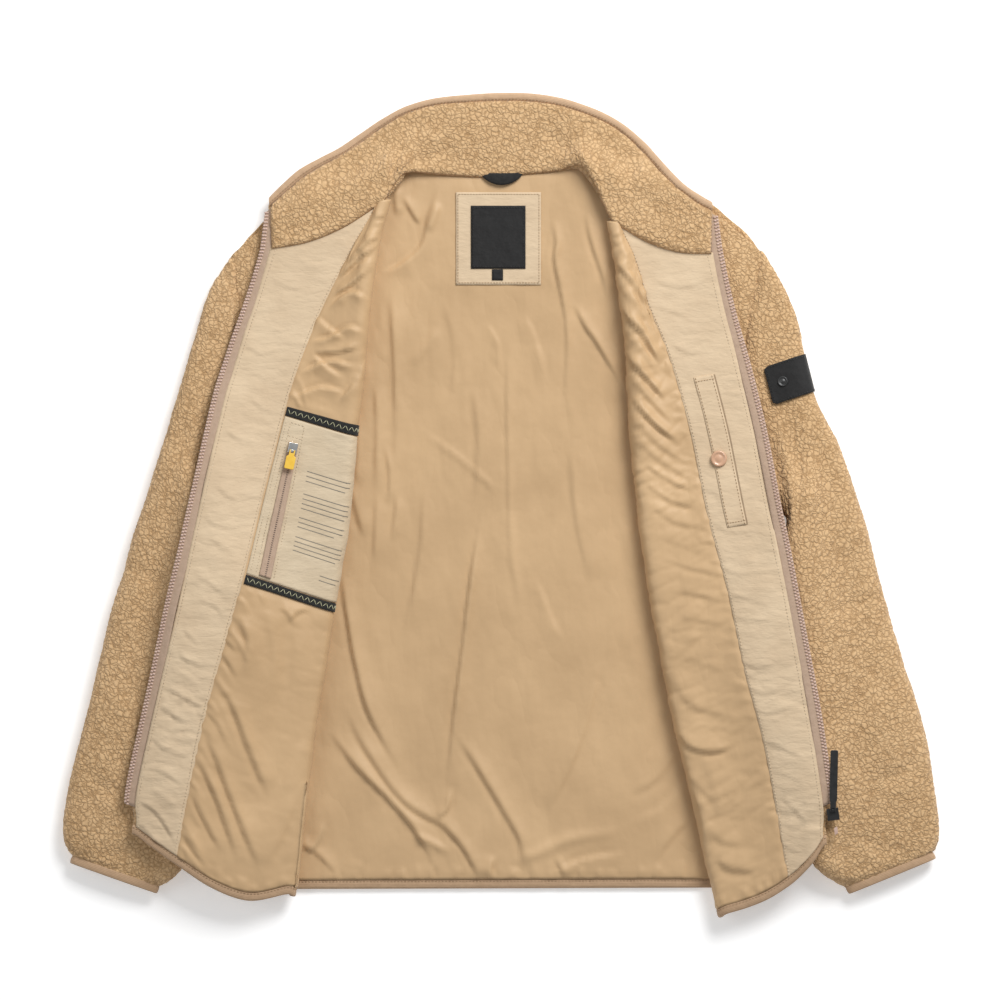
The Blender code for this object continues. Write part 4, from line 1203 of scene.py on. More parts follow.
FACING_FOLDS_RIGHT = folded(
    (0.8, 2.5, R, 150, 222, 176, 214, 206, 220),
    (0.7, 2.5, R, 146, 196, 170, 190, 196, 178),
    (0.7, 2.5, R, 166, 160, 186, 148, 200, 150),
    (0.7, 2.2, R, 190, 128, 204, 118, 224, 118),
    (0.8, 2.4, R, 196, 84, 208, 70, 232, 66),
    (0.7, 2.2, R, 206, 12, 226, 4, 252, 2),
    (0.8, 2.4, R, 210, -22, 232, -30, 262, -28),
    (0.8, 2.2, R, 214, -62, 236, -72, 262, -70),
    (0.8, 2.2, R, 222, -92, 244, -96, 270, -104),
    (0.9, 2.4, R, 226, -112, 248, -118, 276, -116),
    (1.0, 2.2, R, 234, -156, 252, -164, 280, -160),
    (0.8, 2.2, R, 240, -182, 262, -190, 284, -186),
    (0.9, 2.2, R, 248, -204, 266, -210, 291, -203),
    (1.0, 2.4, R, 256, -236, 282, -246, 308, -258),
    (0.9, 2.2, R, 264, -268, 284, -272, 306, -282),
    (0.9, 2.5, R, 276, -292, 292, -306, 306, -322),
    (0.8, 2.4, R, 272, -326, 284, -344, 300, -350),
)

BODY_SECTIONS = np.array((0, 1, 2, 3, 4, 5, 5.5, 6, 6.5, 7, 7.5, 8, 8.5, 9, 9.5, 9.75, 9.9, 10))
HEM_SECTION = 10
ROLL_ARC = (45, 0, -45, -90)
UNDER_SHARES = (0.3, 0.62, 0.9, 1.0)


@dataclass(frozen=True)
class FrontCut:
    """What differs between the two fronts.

    Attributes:
        side: Which front.
        table: Its outline, one row for each section.
        hem_bow: How far the hem bows down between zip and fold.
        hem_skew: Above 1 the bow lies nearer the fold.
        shoulder_bow: How far the shoulder line rises between neck and tip.
        corner: How far the corner at zip and hem is rounded off.
        chain_end: Section where the zip's teeth end.
        crumple: How strongly its lining is creased, at some sections.
        lining_folds: Folds of its lining.
        facing_folds: Folds of its facing.
        gathers: Short folds of the lining, from the facing's seam, from the roll and from the hem.
        pressed: Where a pocket holds the cloth flat: first and last section, first and last column.
    """

    side: Side
    table: Grid
    hem_bow: float
    hem_skew: float
    shoulder_bow: float
    corner: float
    chain_end: float
    crumple: tuple[tuple[float, float], ...]
    lining_folds: list[Fold]
    facing_folds: list[Fold]
    gathers: tuple[Gathers, Gathers, Gathers]
    pressed: tuple[float, float, float, float]


# Gathers in the order of their attributes: first, last, spacing, reach, height, half, slant, seed.
FRONT_CUTS = (
    FrontCut(
        Side.LEFT, FRONT_LEFT, hem_bow=22.0, hem_skew=1.6, shoulder_bow=28.0, corner=8.0, chain_end=9.79,
        crumple=((0.0, 0.35), (4.6, 0.5), (5.2, 0.3), (8.0, 0.3), (10.0, 0.4)),
        lining_folds=LINING_FOLDS_LEFT, facing_folds=FACING_FOLDS_LEFT,
        gathers=(
            Gathers(190, 690, 14, 26, 1.3, 2.4, 1.1, 1), Gathers(15, 70, 9, 14, 1.4, 2.4, 0.6, 2),
            Gathers(5, 150, 9, 12, 1.5, 2.2, 0.0, 3),
        ),
        pressed=(4.84, 7.08, 6.0, 11.5),
    ),
    FrontCut(
        Side.RIGHT, FRONT_RIGHT, hem_bow=13.0, hem_skew=0.9, shoulder_bow=34.0, corner=5.0, chain_end=9.66,
        crumple=((0.0, 1.2), (5.5, 1.2), (6.6, 0.7), (8.0, 0.9), (10.0, 0.8)),
        lining_folds=LINING_FOLDS_RIGHT, facing_folds=FACING_FOLDS_RIGHT,
        gathers=(
            Gathers(60, 640, 13, 14, 0.8, 2.2, -0.3, 7), Gathers(15, 260, 9, 14, 0.9, 2.4, -0.5, 8),
            Gathers(5, 110, 9, 12, 1.6, 2.2, 0.0, 9),
        ),
        pressed=(3.85, 6.22, 4.2, 5.2),
    ),
)


@dataclass
class Front:
    """One front: its flap turned outward, its rolled fold and its part that still lies on the back.

    Columns of the surface, by number: 0 chain edge, 1 tape edge, 2 fleece edge, 3 zip seam, 6 inner edge of the
    facing, 9 top of the roll, 11 the fold's outline, 13 bottom of the roll, 17 side seam.

    Attributes:
        cut: What is particular to this front.
        finer: Steps of the fine surface between two rows or columns.
        reaches: How far the teeth, the zip's tape and the fleece reach past the zip edge.
        flap_clear: Air between the turned flap and what it lies on.
        flap_reach: How far round a point what lies below counts.
        flap_sag: How far the flap drops between its supports.
    """

    EDGE, SEAM, FACING, ROLL_TOP, FOLD, ROLL_BOTTOM, SIDE_SEAM = 2, 3, 6, 9, 11, 13, 17

    cut: FrontCut
    finer: int = 16
    reaches: tuple[float, float, float] = (12.4, 8.6, 4.0)
    flap_clear: float = 1.2
    flap_reach: float = 17.0
    flap_sag: float = 0.3

    def __post_init__(self) -> None:
        """Lays the front's surface."""
        self.side = self.cut.side.value
        self.word = self.cut.side.word
        self.table = through(self.cut.table, BODY_SECTIONS)
        self.points = self.surface(Ground({"back_outer": UNDER_TOP - FLEECE, f"sleeve_{self.word}": 0.0}))
        rows = np.linspace(0, len(self.points) - 1, (len(self.points) - 1) * self.finer + 1)
        columns = np.linspace(0, self.SIDE_SEAM, self.SIDE_SEAM * self.finer + 1)
        self.fine = resampled(self.points, rows, columns)
        self.out = normals(self.fine, self.side)

    def plan(self) -> Grid:
        """Grid of x and y of the flap's columns, 0 to ROLL_TOP.

        Returns:
            The grid.
        """
        zip_edge, fold, facing = self.table[:, 0:2], self.table[:, 2:4], self.table[:, 4:5]
        outward = unit(zip_edge - fold)
        roll_top = fold + outward * (self.table[:, 7:8] - UNDER_MID) / 2
        shares = np.concatenate(
            [facing * 0, facing / 3, facing * 2 / 3, facing, (2 * facing + 1) / 3, (facing + 2) / 3, facing * 0 + 1],
            axis=1,
        )
        across = zip_edge[:, None] + shares[..., None] * (roll_top - zip_edge)[:, None]
        hem = self.cut.hem_bow * np.exp(-(((HEM_SECTION - BODY_SECTIONS) / 0.8) ** 2))
        neck = 10.0 * np.exp(-((BODY_SECTIONS / 0.9) ** 2))
        bow = hem[:, None] * np.sin(math.pi * shares**self.cut.hem_skew) + neck[:, None] * np.sin(math.pi * shares)
        across = across + bow[..., None] * np.array([0.0, -1.0])
        turned = self.cut.corner * np.exp(-(((HEM_SECTION - BODY_SECTIONS) / 0.2) ** 2))
        tuck = turned[:, None] * np.exp(-shares * 7.0)
        across = across + tuck[..., None] * np.array([self.side, 0.3])
        zip_edge = zip_edge + turned[:, None] * np.array([self.side, 0.3])
        past = np.stack([zip_edge + outward * reach for reach in self.reaches], axis=1)
        return np.concatenate([past, across], axis=1)

    def surface(self, ground: Ground) -> Grid:
        """The surface through the middle of the fleece, from the zip round the fold to the side.

        Args:
            ground: What the flap lies on.

        Returns:
            Grid of points, by sections and columns.
        """
        plan = self.plan()
        held = np.full(plan.shape[:2], np.nan)
        held[:, self.ROLL_TOP] = self.table[:, 7]
        height = ground.draped(plan, FLEECE / 2 + self.flap_clear, self.flap_reach, held, self.flap_sag)
        flap = np.concatenate([plan, height[..., None]], axis=2)
        under = np.full(len(plan), UNDER_MID)
        roll_top = plan[:, self.ROLL_TOP]
        inward = unit(self.table[:, 2:4] - self.table[:, 0:2])
        radius = (height[:, self.ROLL_TOP] - under) / 2
        reach = np.linalg.norm(self.table[:, 2:4] - roll_top, axis=1)
        past = []
        for angle in ROLL_ARC:
            turn = math.radians(angle)
            place = roll_top + inward * (reach * math.cos(turn))[:, None]
            past.append(np.column_stack([place, under + radius * (1 + math.sin(turn))]))
        rise = self.cut.shoulder_bow * np.exp(-((BODY_SECTIONS / 1.1) ** 2))
        for share in UNDER_SHARES:
            place = roll_top + share * (self.table[:, 5:7] - roll_top)
            place[:, 1] += rise * math.sin(math.pi * share)
            at_edge = (share == UNDER_SHARES[-1]) & (BODY_SECTIONS < HEM_SECTION)
            at_shoulder = (share > 0.5) & (BODY_SECTIONS == 0)
            past.append(np.column_stack([place, np.where(at_edge | at_shoulder, UNDER_EDGE_MID, under)]))
        return np.concatenate([flap, np.stack(past, axis=1)], axis=1)

    def at(self, rows: Grid, columns: Grid, level: float | Grid = 0.0) -> Grid:
        """Points over the surface.

        Args:
            rows: Row numbers, a line of them or a grid.
            columns: Column numbers, a line of them or a grid of the same shape.
            level: Height over the middle of the fleece, towards the lining.

        Returns:
            Grid of points.
        """
        rows, columns = np.asarray(rows, float), np.asarray(columns, float)
        if rows.ndim == 1:
            rows, columns = np.meshgrid(rows, columns, indexing="ij")
        r, c = rows * self.finer, columns * self.finer
        low_r = np.clip(np.floor(r).astype(int), 0, self.fine.shape[0] - 2)
        low_c = np.clip(np.floor(c).astype(int), 0, self.fine.shape[1] - 2)
        share_r, share_c = (r - low_r)[..., None], (c - low_c)[..., None]

        def read(grid: Grid) -> Grid:
            """A grid's values, straight between its own points.

            Args:
                grid: Values at the fine surface's points.

            Returns:
                Values at the places asked for.
            """
            upper = grid[low_r, low_c] * (1 - share_c) + grid[low_r, low_c + 1] * share_c
            lower = grid[low_r + 1, low_c] * (1 - share_c) + grid[low_r + 1, low_c + 1] * share_c
            return upper * (1 - share_r) + lower * share_r

        return read(self.fine) + unit(read(self.out)) * np.asarray(level)[..., None]

    def row(self, section: float) -> float:
        """Row number of a section, whole or broken."""
        return float(np.interp(section, BODY_SECTIONS, np.arange(len(BODY_SECTIONS))))

    def loose(self, rows: Grid, columns: Grid) -> Grid:
        """How free the cloth is at each point: 0 under a pocket, 1 away from it.

        Args:
            rows: Row numbers.
            columns: Column numbers.

        Returns:
            Grid of shares from 0 to 1.
        """
        top, bottom, start, end = self.cut.pressed
        down = np.minimum(rows - self.row(top), self.row(bottom) - rows) * 40
        over = np.minimum(columns - start, end - columns) * 20
        return 1 - ease(np.minimum(down[:, None], over[None]) / 5.0 + 1.0)

    def down(self, spacing: float, start: float = 0.0, end: float | None = None) -> Grid:
        """Rows that lie evenly down the front."""
        return evenly(self.points, 0, spacing, start, end)

    def over(self, spacing: float, start: float, end: float) -> Grid:
        """Columns that lie evenly across the front."""
        return evenly(self.points, 1, spacing, start, end)

    def fleece(self, pile: Pile) -> None:
        """The front's fleece, whose pile is on its far side.

        Args:
            pile: Pile of the fleece.
        """
        shoulder = self.row(1.3)
        rows = np.concatenate([self.down(2.2, 0, shoulder)[:-1], self.down(5.5, shoulder)])
        columns = np.concatenate(
            [self.over(4.5, self.EDGE, self.ROLL_BOTTOM)[:-1], self.over(2.4, self.ROLL_BOTTOM, self.SIDE_SEAM)]
        )
        base = self.at(rows, columns, -FLEECE / 2)
        height = pile.height(base)
        points = self.at(rows, columns, -FLEECE / 2 - pile.lift(height))
        piece = cloth(f"front_{self.word}_fleece", points, -self.side, FLEECE_WALL, pile=height)
        dressed(piece, SHERPA, "fleece", replaces=(f"front_{self.word}_outer",))

    def facing(self, lattice: Lattice) -> None:
        """The pale facing beside the zip.

        Args:
            lattice: Noise for its lumps.
        """
        rows, columns = self.down(2.4), self.over(2.1, self.SEAM - 0.1, self.FACING)
        base = self.at(rows, columns, LINING_LEVEL)
        from_seam = lengths(base)
        edge = np.minimum(from_seam[..., 0], from_seam[:, -1:, 0] - from_seam[..., 0])
        swell = 0.5 * ease(edge / 5.0) - 0.35
        lumps = 0.35 * lattice.smooth(base * (0.7, 1.4, 1.0), 16) + 0.25 * lattice.smooth(base * (0.6, 1.6, 1.0), 7)
        lumps = lumps + 0.55 * crumpled(lattice, base * (0.5, 1.3, 0.0), 14)
        lumps = lumps * np.linspace(0.3, 1.7, len(rows))[:, None]
        lift = relief(base[..., :2], self.cut.facing_folds) + lumps * ease(edge / 4.0)
        lift = swell + lift * self.loose(rows, columns)
        points, on = self.at(rows, columns, LINING_LEVEL + lift), f"front_{self.word}_fleece"
        sewn(f"facing_{self.word}", points, self.side, FACING_WALL, CRINKLE, "facing")

    def lining(self, lattice: Lattice) -> None:
        """The glossy lining from the facing round the roll, with its folds and gathers.

        Args:
            lattice: Noise for its lumps.
        """
        rows = self.down(2.3)
        columns = self.over(2.0, self.FACING - 0.1, self.ROLL_BOTTOM + 0.6)
        base = self.at(rows, columns, LINING_LEVEL)
        over = lengths(base)
        to_hem = over[-1:, :, 1] - over[..., 1]
        roll = float(over[len(over) // 2, np.argmin(np.abs(columns - self.ROLL_TOP)), 0])
        at_seam, at_roll, at_hem = self.cut.gathers
        lift = relief(base[..., :2], self.cut.lining_folds)
        lift = lift + relief(over, at_seam.folds(0.0, 1)) * ease(over[..., 0] / 3.0)
        from_roll = over.copy()
        from_roll[..., 0] -= over[:, np.argmin(np.abs(columns - self.ROLL_TOP))][:, None, 0] - roll
        lift = lift + relief(from_roll, at_roll.folds(roll + 8.0, -1))
        hem = np.stack([to_hem, over[..., 0]], axis=2)
        lift = lift + relief(hem, at_hem.folds(0.0, 1)) * ease(to_hem / 3.0)
        lumps = 0.8 * lattice.smooth(base, 30) + 0.3 * lattice.smooth(base * (0.7, 1.5, 1.0), 13)
        slanted = base[..., :2] @ np.array(((0.5, 0.75 * self.side), (-0.45 * self.side, 1.25)))
        slanted = level_grid(slanted, 0.0)
        sections, strengths = zip(*self.cut.crumple)
        wild = np.interp(rows, [self.row(section) for section in sections], strengths)
        lumps = lumps + wild[:, None] * (crumpled(lattice, slanted, 24) + 0.45 * crumpled(lattice, slanted + 500, 13))
        edge = ease(over[..., 0] / 4.0) * ease(to_hem / 4.0)
        puff = 0.7 * ease(over[..., 0] / 6.0) * ease(to_hem / 8.0) - 0.35
        free = self.loose(rows, columns) * ease(over[..., 1] / 16.0 + 0.1)
        tucked = 1.0 * (1 - ease(over[..., 0] / 3.2))
        lift = np.maximum((lift + lumps * edge) * free + puff * np.minimum(free + 0.2, 1), -0.9) - tucked
        points, on = self.at(rows, columns, LINING_LEVEL + lift), f"front_{self.word}_fleece"
        node = f"front_{self.word}_lining"
        sewn(node, points, self.side, LINING_WALL, TAFFETA, "lining")

    def hem(self, thread: Thread) -> None:
        """The folded binding along the front's hem.

        Args:
            thread: Thread of its stitches.
        """
        columns = self.over(2.6, self.EDGE, self.SIDE_SEAM)
        rows = np.array([len(self.points) - 1.02, len(self.points) - 1.0])
        level = (GAP + LINING) / 2
        line = self.at(rows, columns, level)
        outward = unit(line[1] - line[0])
        rim = Rim(width=10.2, thickness=5.6)
        name = f"hem_binding_{self.word}"
        rim.build(name, line[1] - outward * 1.4, outward, self.side, thread)


@dataclass(frozen=True)
class Rim:
    """A tape folded over an edge.

    Attributes:
        width: How far it reaches past the edge's seam.
        thickness: How thick the folded edge is.
        square: How square its section is.
        pucker: How unevenly it is drawn in.
        turns: Points round its section.
    """

    width: float
    thickness: float
    square: float = 3.2
    pucker: float = 0.8
    turns: int = 16

    def section(self) -> Grid:
        """Distances past the seam and heights over the middle, once round.

        Returns:
            Pairs of distance and height.
        """
        turn = np.linspace(0, math.tau, self.turns + 1)
        power = 2 / self.square
        past = np.copysign(np.abs(np.cos(turn)) ** power, np.cos(turn))
        high = np.copysign(np.abs(np.sin(turn)) ** power, np.sin(turn))
        drawn = 1 - 0.16 * ease((0.1 - past) / 1.1)
        return np.stack([self.width / 2 * (1 + past), self.thickness / 2 * high * drawn], axis=1)

    def build(self, node: str, line: Grid, outward: Grid, side: int, thread: Thread) -> None:
        """Builds the binding along a line.

        Args:
            node: Node it stands for.
            line: Points of the seam, in the middle of the edge.
            outward: Direction past the edge at each point.
            side: 1 where the line runs towards +X with the edge on its -Y side.
            thread: Thread of its stitches.
        """
        along = unit(np.gradient(line, axis=0))
        up = unit(np.cross(along, outward)) * -side
        section = self.section()
        wobble = wobbles(len(line), len(line)) * self.pucker
        points = (
            line[None]
            + outward[None] * section[:, 0, None, None]
            + up[None] * (section[:, 1, None] + 0.4 * wobble[None] * np.sign(section[:, 1, None]))[..., None]
        )
        points[..., 2] = np.maximum(points[..., 2], LOWEST)
        piece = cloth(f"{node}_tape", points, closed=True)
        # The collar's binding gets the binding's colours painted brighter.
        dressed(piece, LIT_COLLAR_BINDING if "collar" in node else BINDING, "binding", replaces=(node,))
        thread.run(line + outward * 3.0 + up * (self.thickness / 2 + 0.15), outward)


# --- Back ---

# Shoulder and neck line of the back, from the left tip to the right tip. Columns: x, y.
BACK_TOP = placed((
    (-269.5, 247), (-236, 285), (-200, 301), (-161, 316), (-97.5, 336), (-72, 328), (-31, 326), (10, 327),
    (42, 330), (80.5, 340), (140, 320), (176, 310), (210.5, 299), (238.5, 276), (261.5, 249),
), 1)
BACK_HEM = ((0.0, -366), (0.05, -371), (0.12, -376), (0.88, -374.5), (0.95, -370), (1.0, -364))
BACK_FOLDS = folded(
    (3.2, 4.1, R, -58, 322, -72, 284, -79, 256, -100, 236, -122, 224),
    (2.4, 3.3, R, -98, 306, -88, 288, -80, 276),
    (2.4, 3.7, N, -62, 300, -68, 283, -74, 268),
    (2.7, 3.3, R, -108, 318, -104, 284),
    (3.0, 4.1, R, -110, 214, -107.5, 161, -106, 115, -105, 20),
    (2.4, 3.3, R, -125.5, 120, -124.5, 71, -125.5, -2),
    (2.0, 3.3, R, -142, 90, -144.5, 40, -146, 16),
    (3.0, 2.6, R, 50, 285, 55, 262, 54, 240, 61.5, 200, 66, 159, 62.5, 78),
    (3.5, 3.0, R, 72, 200, 84, 176, 97, 157, 132, 98),
    (1.5, 2.0, R, 5, 162, 6, 60, 8, -62),
    (1.8, 3.3, L, -18, 184, -3, 156, -5, 130),
    (2.0, 1.8, N, -85, 73, -46, 46, -16, 21, -4, 10),
    (2.4, 2.5, R, -116, 56, -111, 22, -115, -4),
    (1.6, 4.9, N, -90, 134, -62, 174),
    (4.3, 3.3, R, -161, -62, -153, -118, -145, -162, -131, -212, -96, -276),
    (4.1, 3.0, R, -20, -10, -29, -70, -37, -135, -46.5, -213, -55, -292),
    (4.6, 3.6, R, -173, -226, -146, -262, -111, -298, -82, -333, -60, -380),
    (3.0, 4.1, R, -157, -200, -136, -244, -97, -298, -56, -324, -44, -342),
    (2.7, 3.3, N, -96, -330, -72, -340, -50, -352),
    (3.0, 2.5, L, -50, -286, -54, -306, -66, -318),
    (3.2, 3.0, R, -58, -322, -37, -346, -20, -378),
    (3.5, 4.1, R, -48, -226, -22, -266, 3, -308, 20, -340, 26, -378),
    (2.4, 5.7, N, 4, -360, 36, -352, 68, -338, 128, -328),
    (2.0, 4.1, L, 46, -376, 80, -360, 128, -352),
    (1.9, 4.1, L, 98, -148, 88, -208, 68, -264, 44, -312),
    (2.4, 2.8, R, -212, -338, -186, -350, -160, -376),
    (2.4, 3.3, L, -176, -318, -184, -340, -200, -356),
    (2.4, 2.5, R, 54, -355, 66, -378),
    (2.7, 3.0, L, -6, -354, -12, -368, -4, -380),
    (1.9, 3.3, R, -124, 8, -127, -66),
    (1.8, 3.0, R, -103, 8, -109, -40),
    (2.0, 4.1, R, -154, 24, -144, -10, -135, -38),
    (1.5, 4.1, N, 8, 8, 12, -64, 22, -106),
    (1.6, 4.9, L, 32, -70, 44, -104, 59, -142),
    (2.2, 3.3, R, 84, 292, 90, 262, 100, 232, 110, 196),
    (1.6, 4.9, L, 20, 190, 34, 160, 44, 110),
    (1.6, 5.7, R, -58, 210, -46, 150, -50, 90),
    (1.9, 4.1, R, -76, 20, -82, -60, -98, -140),
    (1.8, 4.9, R, 70, 60, 76, -20, 92, -90),
    (1.6, 4.9, R, -28, 120, -22, 60, -26, -8),
    (1.5, 5.0, L, 178, -246, 154, -276, 126, -292),
    (1.2, 6.0, R, 184, -280, 164, -306, 132, -322),
    (1.4, 3.6, L, 188, -316, 170, -334, 150, -362),
)


@dataclass(frozen=True)
class Back:
    """The back: fleece lying flat, and its lining with the folds that show between the fronts.

    Attributes:
        neck: The columns of BACK_TOP between which the collar is sewn on.
        inset: How far the lining stops short of the shoulders.
        free_from: Distance from a front's roll where folds begin.
        undulation: Height of the lining's wide, low waves.
        hem_gathers: Short folds above the hem.
        lattice: Noise for its waves and creases.
    """

    neck: tuple[int, int] = (4, 9)
    inset: float = 28.0
    free_from: float = 2.0
    undulation: float = 0.9
    hem_gathers: Gathers = Gathers(95.0, 480.0, 17.0, 15.0, 1.2, 3.0, 0.2, 5)
    lattice: Lattice = field(default_factory=lambda: Lattice(23))

    @property
    def shares(self) -> Grid:
        """Where the columns of BACK_TOP lie over the width."""
        return (BACK_TOP[:, 0] - BACK_TOP[0, 0]) / (BACK_TOP[-1, 0] - BACK_TOP[0, 0])

    def panel(self, sections: Grid, columns: Grid) -> Grid:
        """Grid of x and y over the back, by sections and by shares of its width.

        Args:
            sections: Sections down the back.
            columns: Shares of its width.

        Returns:
            The grid.
        """
        edge_l, edge_r = (through(table[:, 5:7], sections) for table in (FRONT_LEFT, FRONT_RIGHT))
        x = edge_l[:, :1] + columns[None, :] * (edge_r[:, :1] - edge_l[:, :1])
        top_y = np.interp(columns, self.shares, BACK_TOP[:, 1])
        hem_y = np.interp(columns, *np.array(BACK_HEM).T) + CENTRE_SHIFT_Y
        fall = 1 - (edge_l[:, 1] - edge_l[-1, 1]) / (edge_l[0, 1] - edge_l[-1, 1])
        return np.stack([x, top_y[None, :] + fall[:, None] * (hem_y - top_y)[None, :]], axis=2)

    def folds(self, plan: Grid) -> Grid:
        """Height of the lining over its lowest level.

        Args:
            plan: Grid of x and y.

        Returns:
            The height at each place.
        """
        deep = level_grid(plan, 0.0)
        height = relief(plan, BACK_FOLDS) + self.undulation * self.lattice.smooth(deep, 55)
        height = height + 0.35 * self.lattice.smooth(deep * (1.6, 0.8, 1.0), 16)
        low = ease((-plan[..., 1] - 200) / 150)
        height = height + (0.35 + 0.7 * low) * crumpled(self.lattice, deep * (1.15, 0.6, 0.0), 46)
        for table, side in ((FRONT_LEFT, 1), (FRONT_RIGHT, -1)):
            edge = np.interp(plan[..., 1], table[::-1, 3], table[::-1, 2])
            height = height * ease((side * (plan[..., 0] - edge) + 8 - self.free_from) / 14)
        left, right, top, bottom = NECK_PIECES["neck_patch"][:4]
        over = np.minimum(plan[..., 0] - left, right - plan[..., 0])
        down = np.minimum(top - plan[..., 1], plan[..., 1] - bottom)
        return np.maximum(height, -0.5) * (1 - 0.8 * ease(np.minimum(over, down) / 10 + 1))

    def height(self, x: float, y: float) -> float:
        """Top of the lining at one place."""
        return BACK_LINING_TOP + float(self.folds(np.array([[[x, y]]]))[0, 0])

    def fleece(self, pile: Pile) -> None:
        """The back's fleece, with its pile on the surface that it lies on.

        Args:
            pile: Pile of the fleece.
        """
        plan = self.panel(np.linspace(0, HEM_SECTION, 118), np.linspace(0, 1, 96))
        base = level_grid(plan, LOWEST)
        height = pile.height(base)
        base[..., 2] += 1.4 * (1 - height)
        piece = cloth("back_fleece", base, -1, 3.4, pile=height)
        dressed(piece, SHERPA, "fleece", replaces=("back_outer",))

    def lining(self) -> None:
        """The back's lining."""
        hidden_l, hidden_r = np.linspace(0.022, 0.16, 8), np.linspace(0.84, 0.978, 8)
        columns = np.concatenate([hidden_l[:-1], np.linspace(0.16, 0.84, 168), hidden_r[1:]])
        sections = np.concatenate([np.linspace(0, 6.4, 128)[:-1], np.linspace(6.4, HEM_SECTION, 126)])
        start, end = (self.shares[corner] for corner in self.neck)
        plan = self.panel(sections, columns)
        width = BACK_TOP[-1, 0] - BACK_TOP[0, 0]
        past = np.maximum(start - columns, columns - end) * width
        drop = np.interp(past, [0.0, 22.0], [-5.0, self.inset])
        fade = np.exp(-((sections / 0.5) ** 2))
        plan[..., 1] -= fade[:, None] * drop[None]
        base = level_grid(plan, BACK_LINING_TOP)
        over = lengths(base)
        to_hem = over[-1:, :, 1] - over[..., 1]
        hem = np.stack([to_hem, over[..., 0]], axis=2)
        gathered = relief(hem, self.hem_gathers.folds(0.0, 1)) * ease(to_hem / 2.5)
        at_neck = ease(over[..., 1] / 18.0)
        swell = 0.8 * ease(to_hem / 7.0) * at_neck
        points = base.copy()
        lift = self.folds(plan) * ease(to_hem / 9.0) * at_neck + gathered + swell
        points[..., 2] += np.maximum(lift, -0.25) - 1.5 * (1 - ease(over[..., 1] / 7.0))
        sewn("back_lining", points, 1, LINING_WALL, TAFFETA, "lining")

    def hem(self, thread: Thread) -> None:
        """The folded binding along the back's hem.

        Args:
            thread: Thread of its stitches.
        """
        columns = np.linspace(0, 1, 190)
        plan = self.panel(np.array([9.95, 10.0]), columns)
        line = level_grid(plan, BINDING_MID)
        outward = unit(line[1] - line[0])
        rim = Rim(width=10.4, thickness=5.6)
        rim.build("hem_binding_back", line[1] - outward * 1.4, outward, 1, thread)


# --- Sleeves ---

# Each sleeve, from the armhole to the cuff. Columns: x and y at the outer edge, x and y at the inner edge,
# how far the section bows towards the body, height of the flattened tube.
SLEEVE_LEFT = placed((
    (-272.2, 244, -276.5, -5, 13.0, 16),
    (-294.5, 204, -281, -7, 7.0, 19),
    (-317.5, 126, -286, -16, 3.0, 24),
    (-341.5, 49, -276, -52, 0.0, 28),
    (-361.5, -16, -252, -94, 0.0, 30),
    (-383.5, -88, -242.0, -138, 0.0, 30),
    (-404.5, -171, -257.0, -206, 0.0, 30),
    (-422.5, -241, -279.5, -266, 0.0, 30),
    (-434.0, -297, -302.5, -316, 0.0, 28),
    (-436.5, -333, -318.5, -362, 0.0, 25),
    (-429.5, -352, -341.5, -383, 0.0, 21),
), 1, 3)
SLEEVE_RIGHT = placed((
    (264.6, 246, 274.5, -7, 21.0, 16),
    (291.5, 194, 279, -9, 8.0, 19),
    (311.5, 114, 284, -18, 3.0, 24),
    (338.5, 54, 274, -54, 0.0, 28),
    (358.5, -6, 252, -96, 0.0, 30),
    (380.5, -84, 242.0, -140, 0.0, 30),
    (401.5, -158, 257.0, -206, 0.0, 30),
    (421.5, -224, 279.5, -264, 0.0, 30),
    (432.5, -281, 300.5, -311, 0.0, 28),
    (436.5, -328, 310.5, -357, 0.0, 25),
    (431.5, -348, 343.5, -384, 0.0, 21),
), 1, 3)
SLEEVE_FOLDS_LEFT = folded(
    (-3.4, 3.4, N, -278, 232, -266, 206, -265, 170, -270, 130),
    (-1.4, 9.0, N, -330, 100, -312, 60, -306, 20),
    (1.6, 14.0, N, -318, 60, -330, 0, -340, -60),
    (-1.6, 9.0, N, -372, -60, -350, -78, -328, -84),
    (1.6, 12.0, N, -396, -180, -372, -220, -362, -280),
    (-1.8, 8.0, N, -420, -262, -396, -286, -372, -292),
    (-1.4, 7.0, N, -352, -330, -376, -350, -404, -350),
)
SLEEVE_FOLDS_RIGHT = folded(
    (-3.4, 3.4, N, 262, 244, 254, 206, 247, 172, 250, 130),
    (-2.0, 5.0, N, 306, 176, 286, 150, 272, 140),
    (-1.4, 9.0, N, 322, 70, 304, 40, 296, 0),
    (1.6, 14.0, N, 316, 20, 330, -40, 344, -100),
    (-1.6, 9.0, N, 372, -90, 352, -104, 330, -106),
    (1.6, 12.0, N, 392, -170, 378, -220, 374, -280),
    (-1.8, 8.0, N, 420, -250, 398, -272, 376, -276),
    (-1.4, 7.0, N, 352, -330, 378, -346, 404, -346),
)
SLEEVE_RINGS = np.array((0, 1, 2, 2.5, 3, 4, 5, 6, 7, 8, 9, 10))
ARMPIT_SECTION = 6

# Middle and radius of the place on the right sleeve where the badge holds the pile down.
BADGE_PRESS = (300.0, 121.0, 34.0)


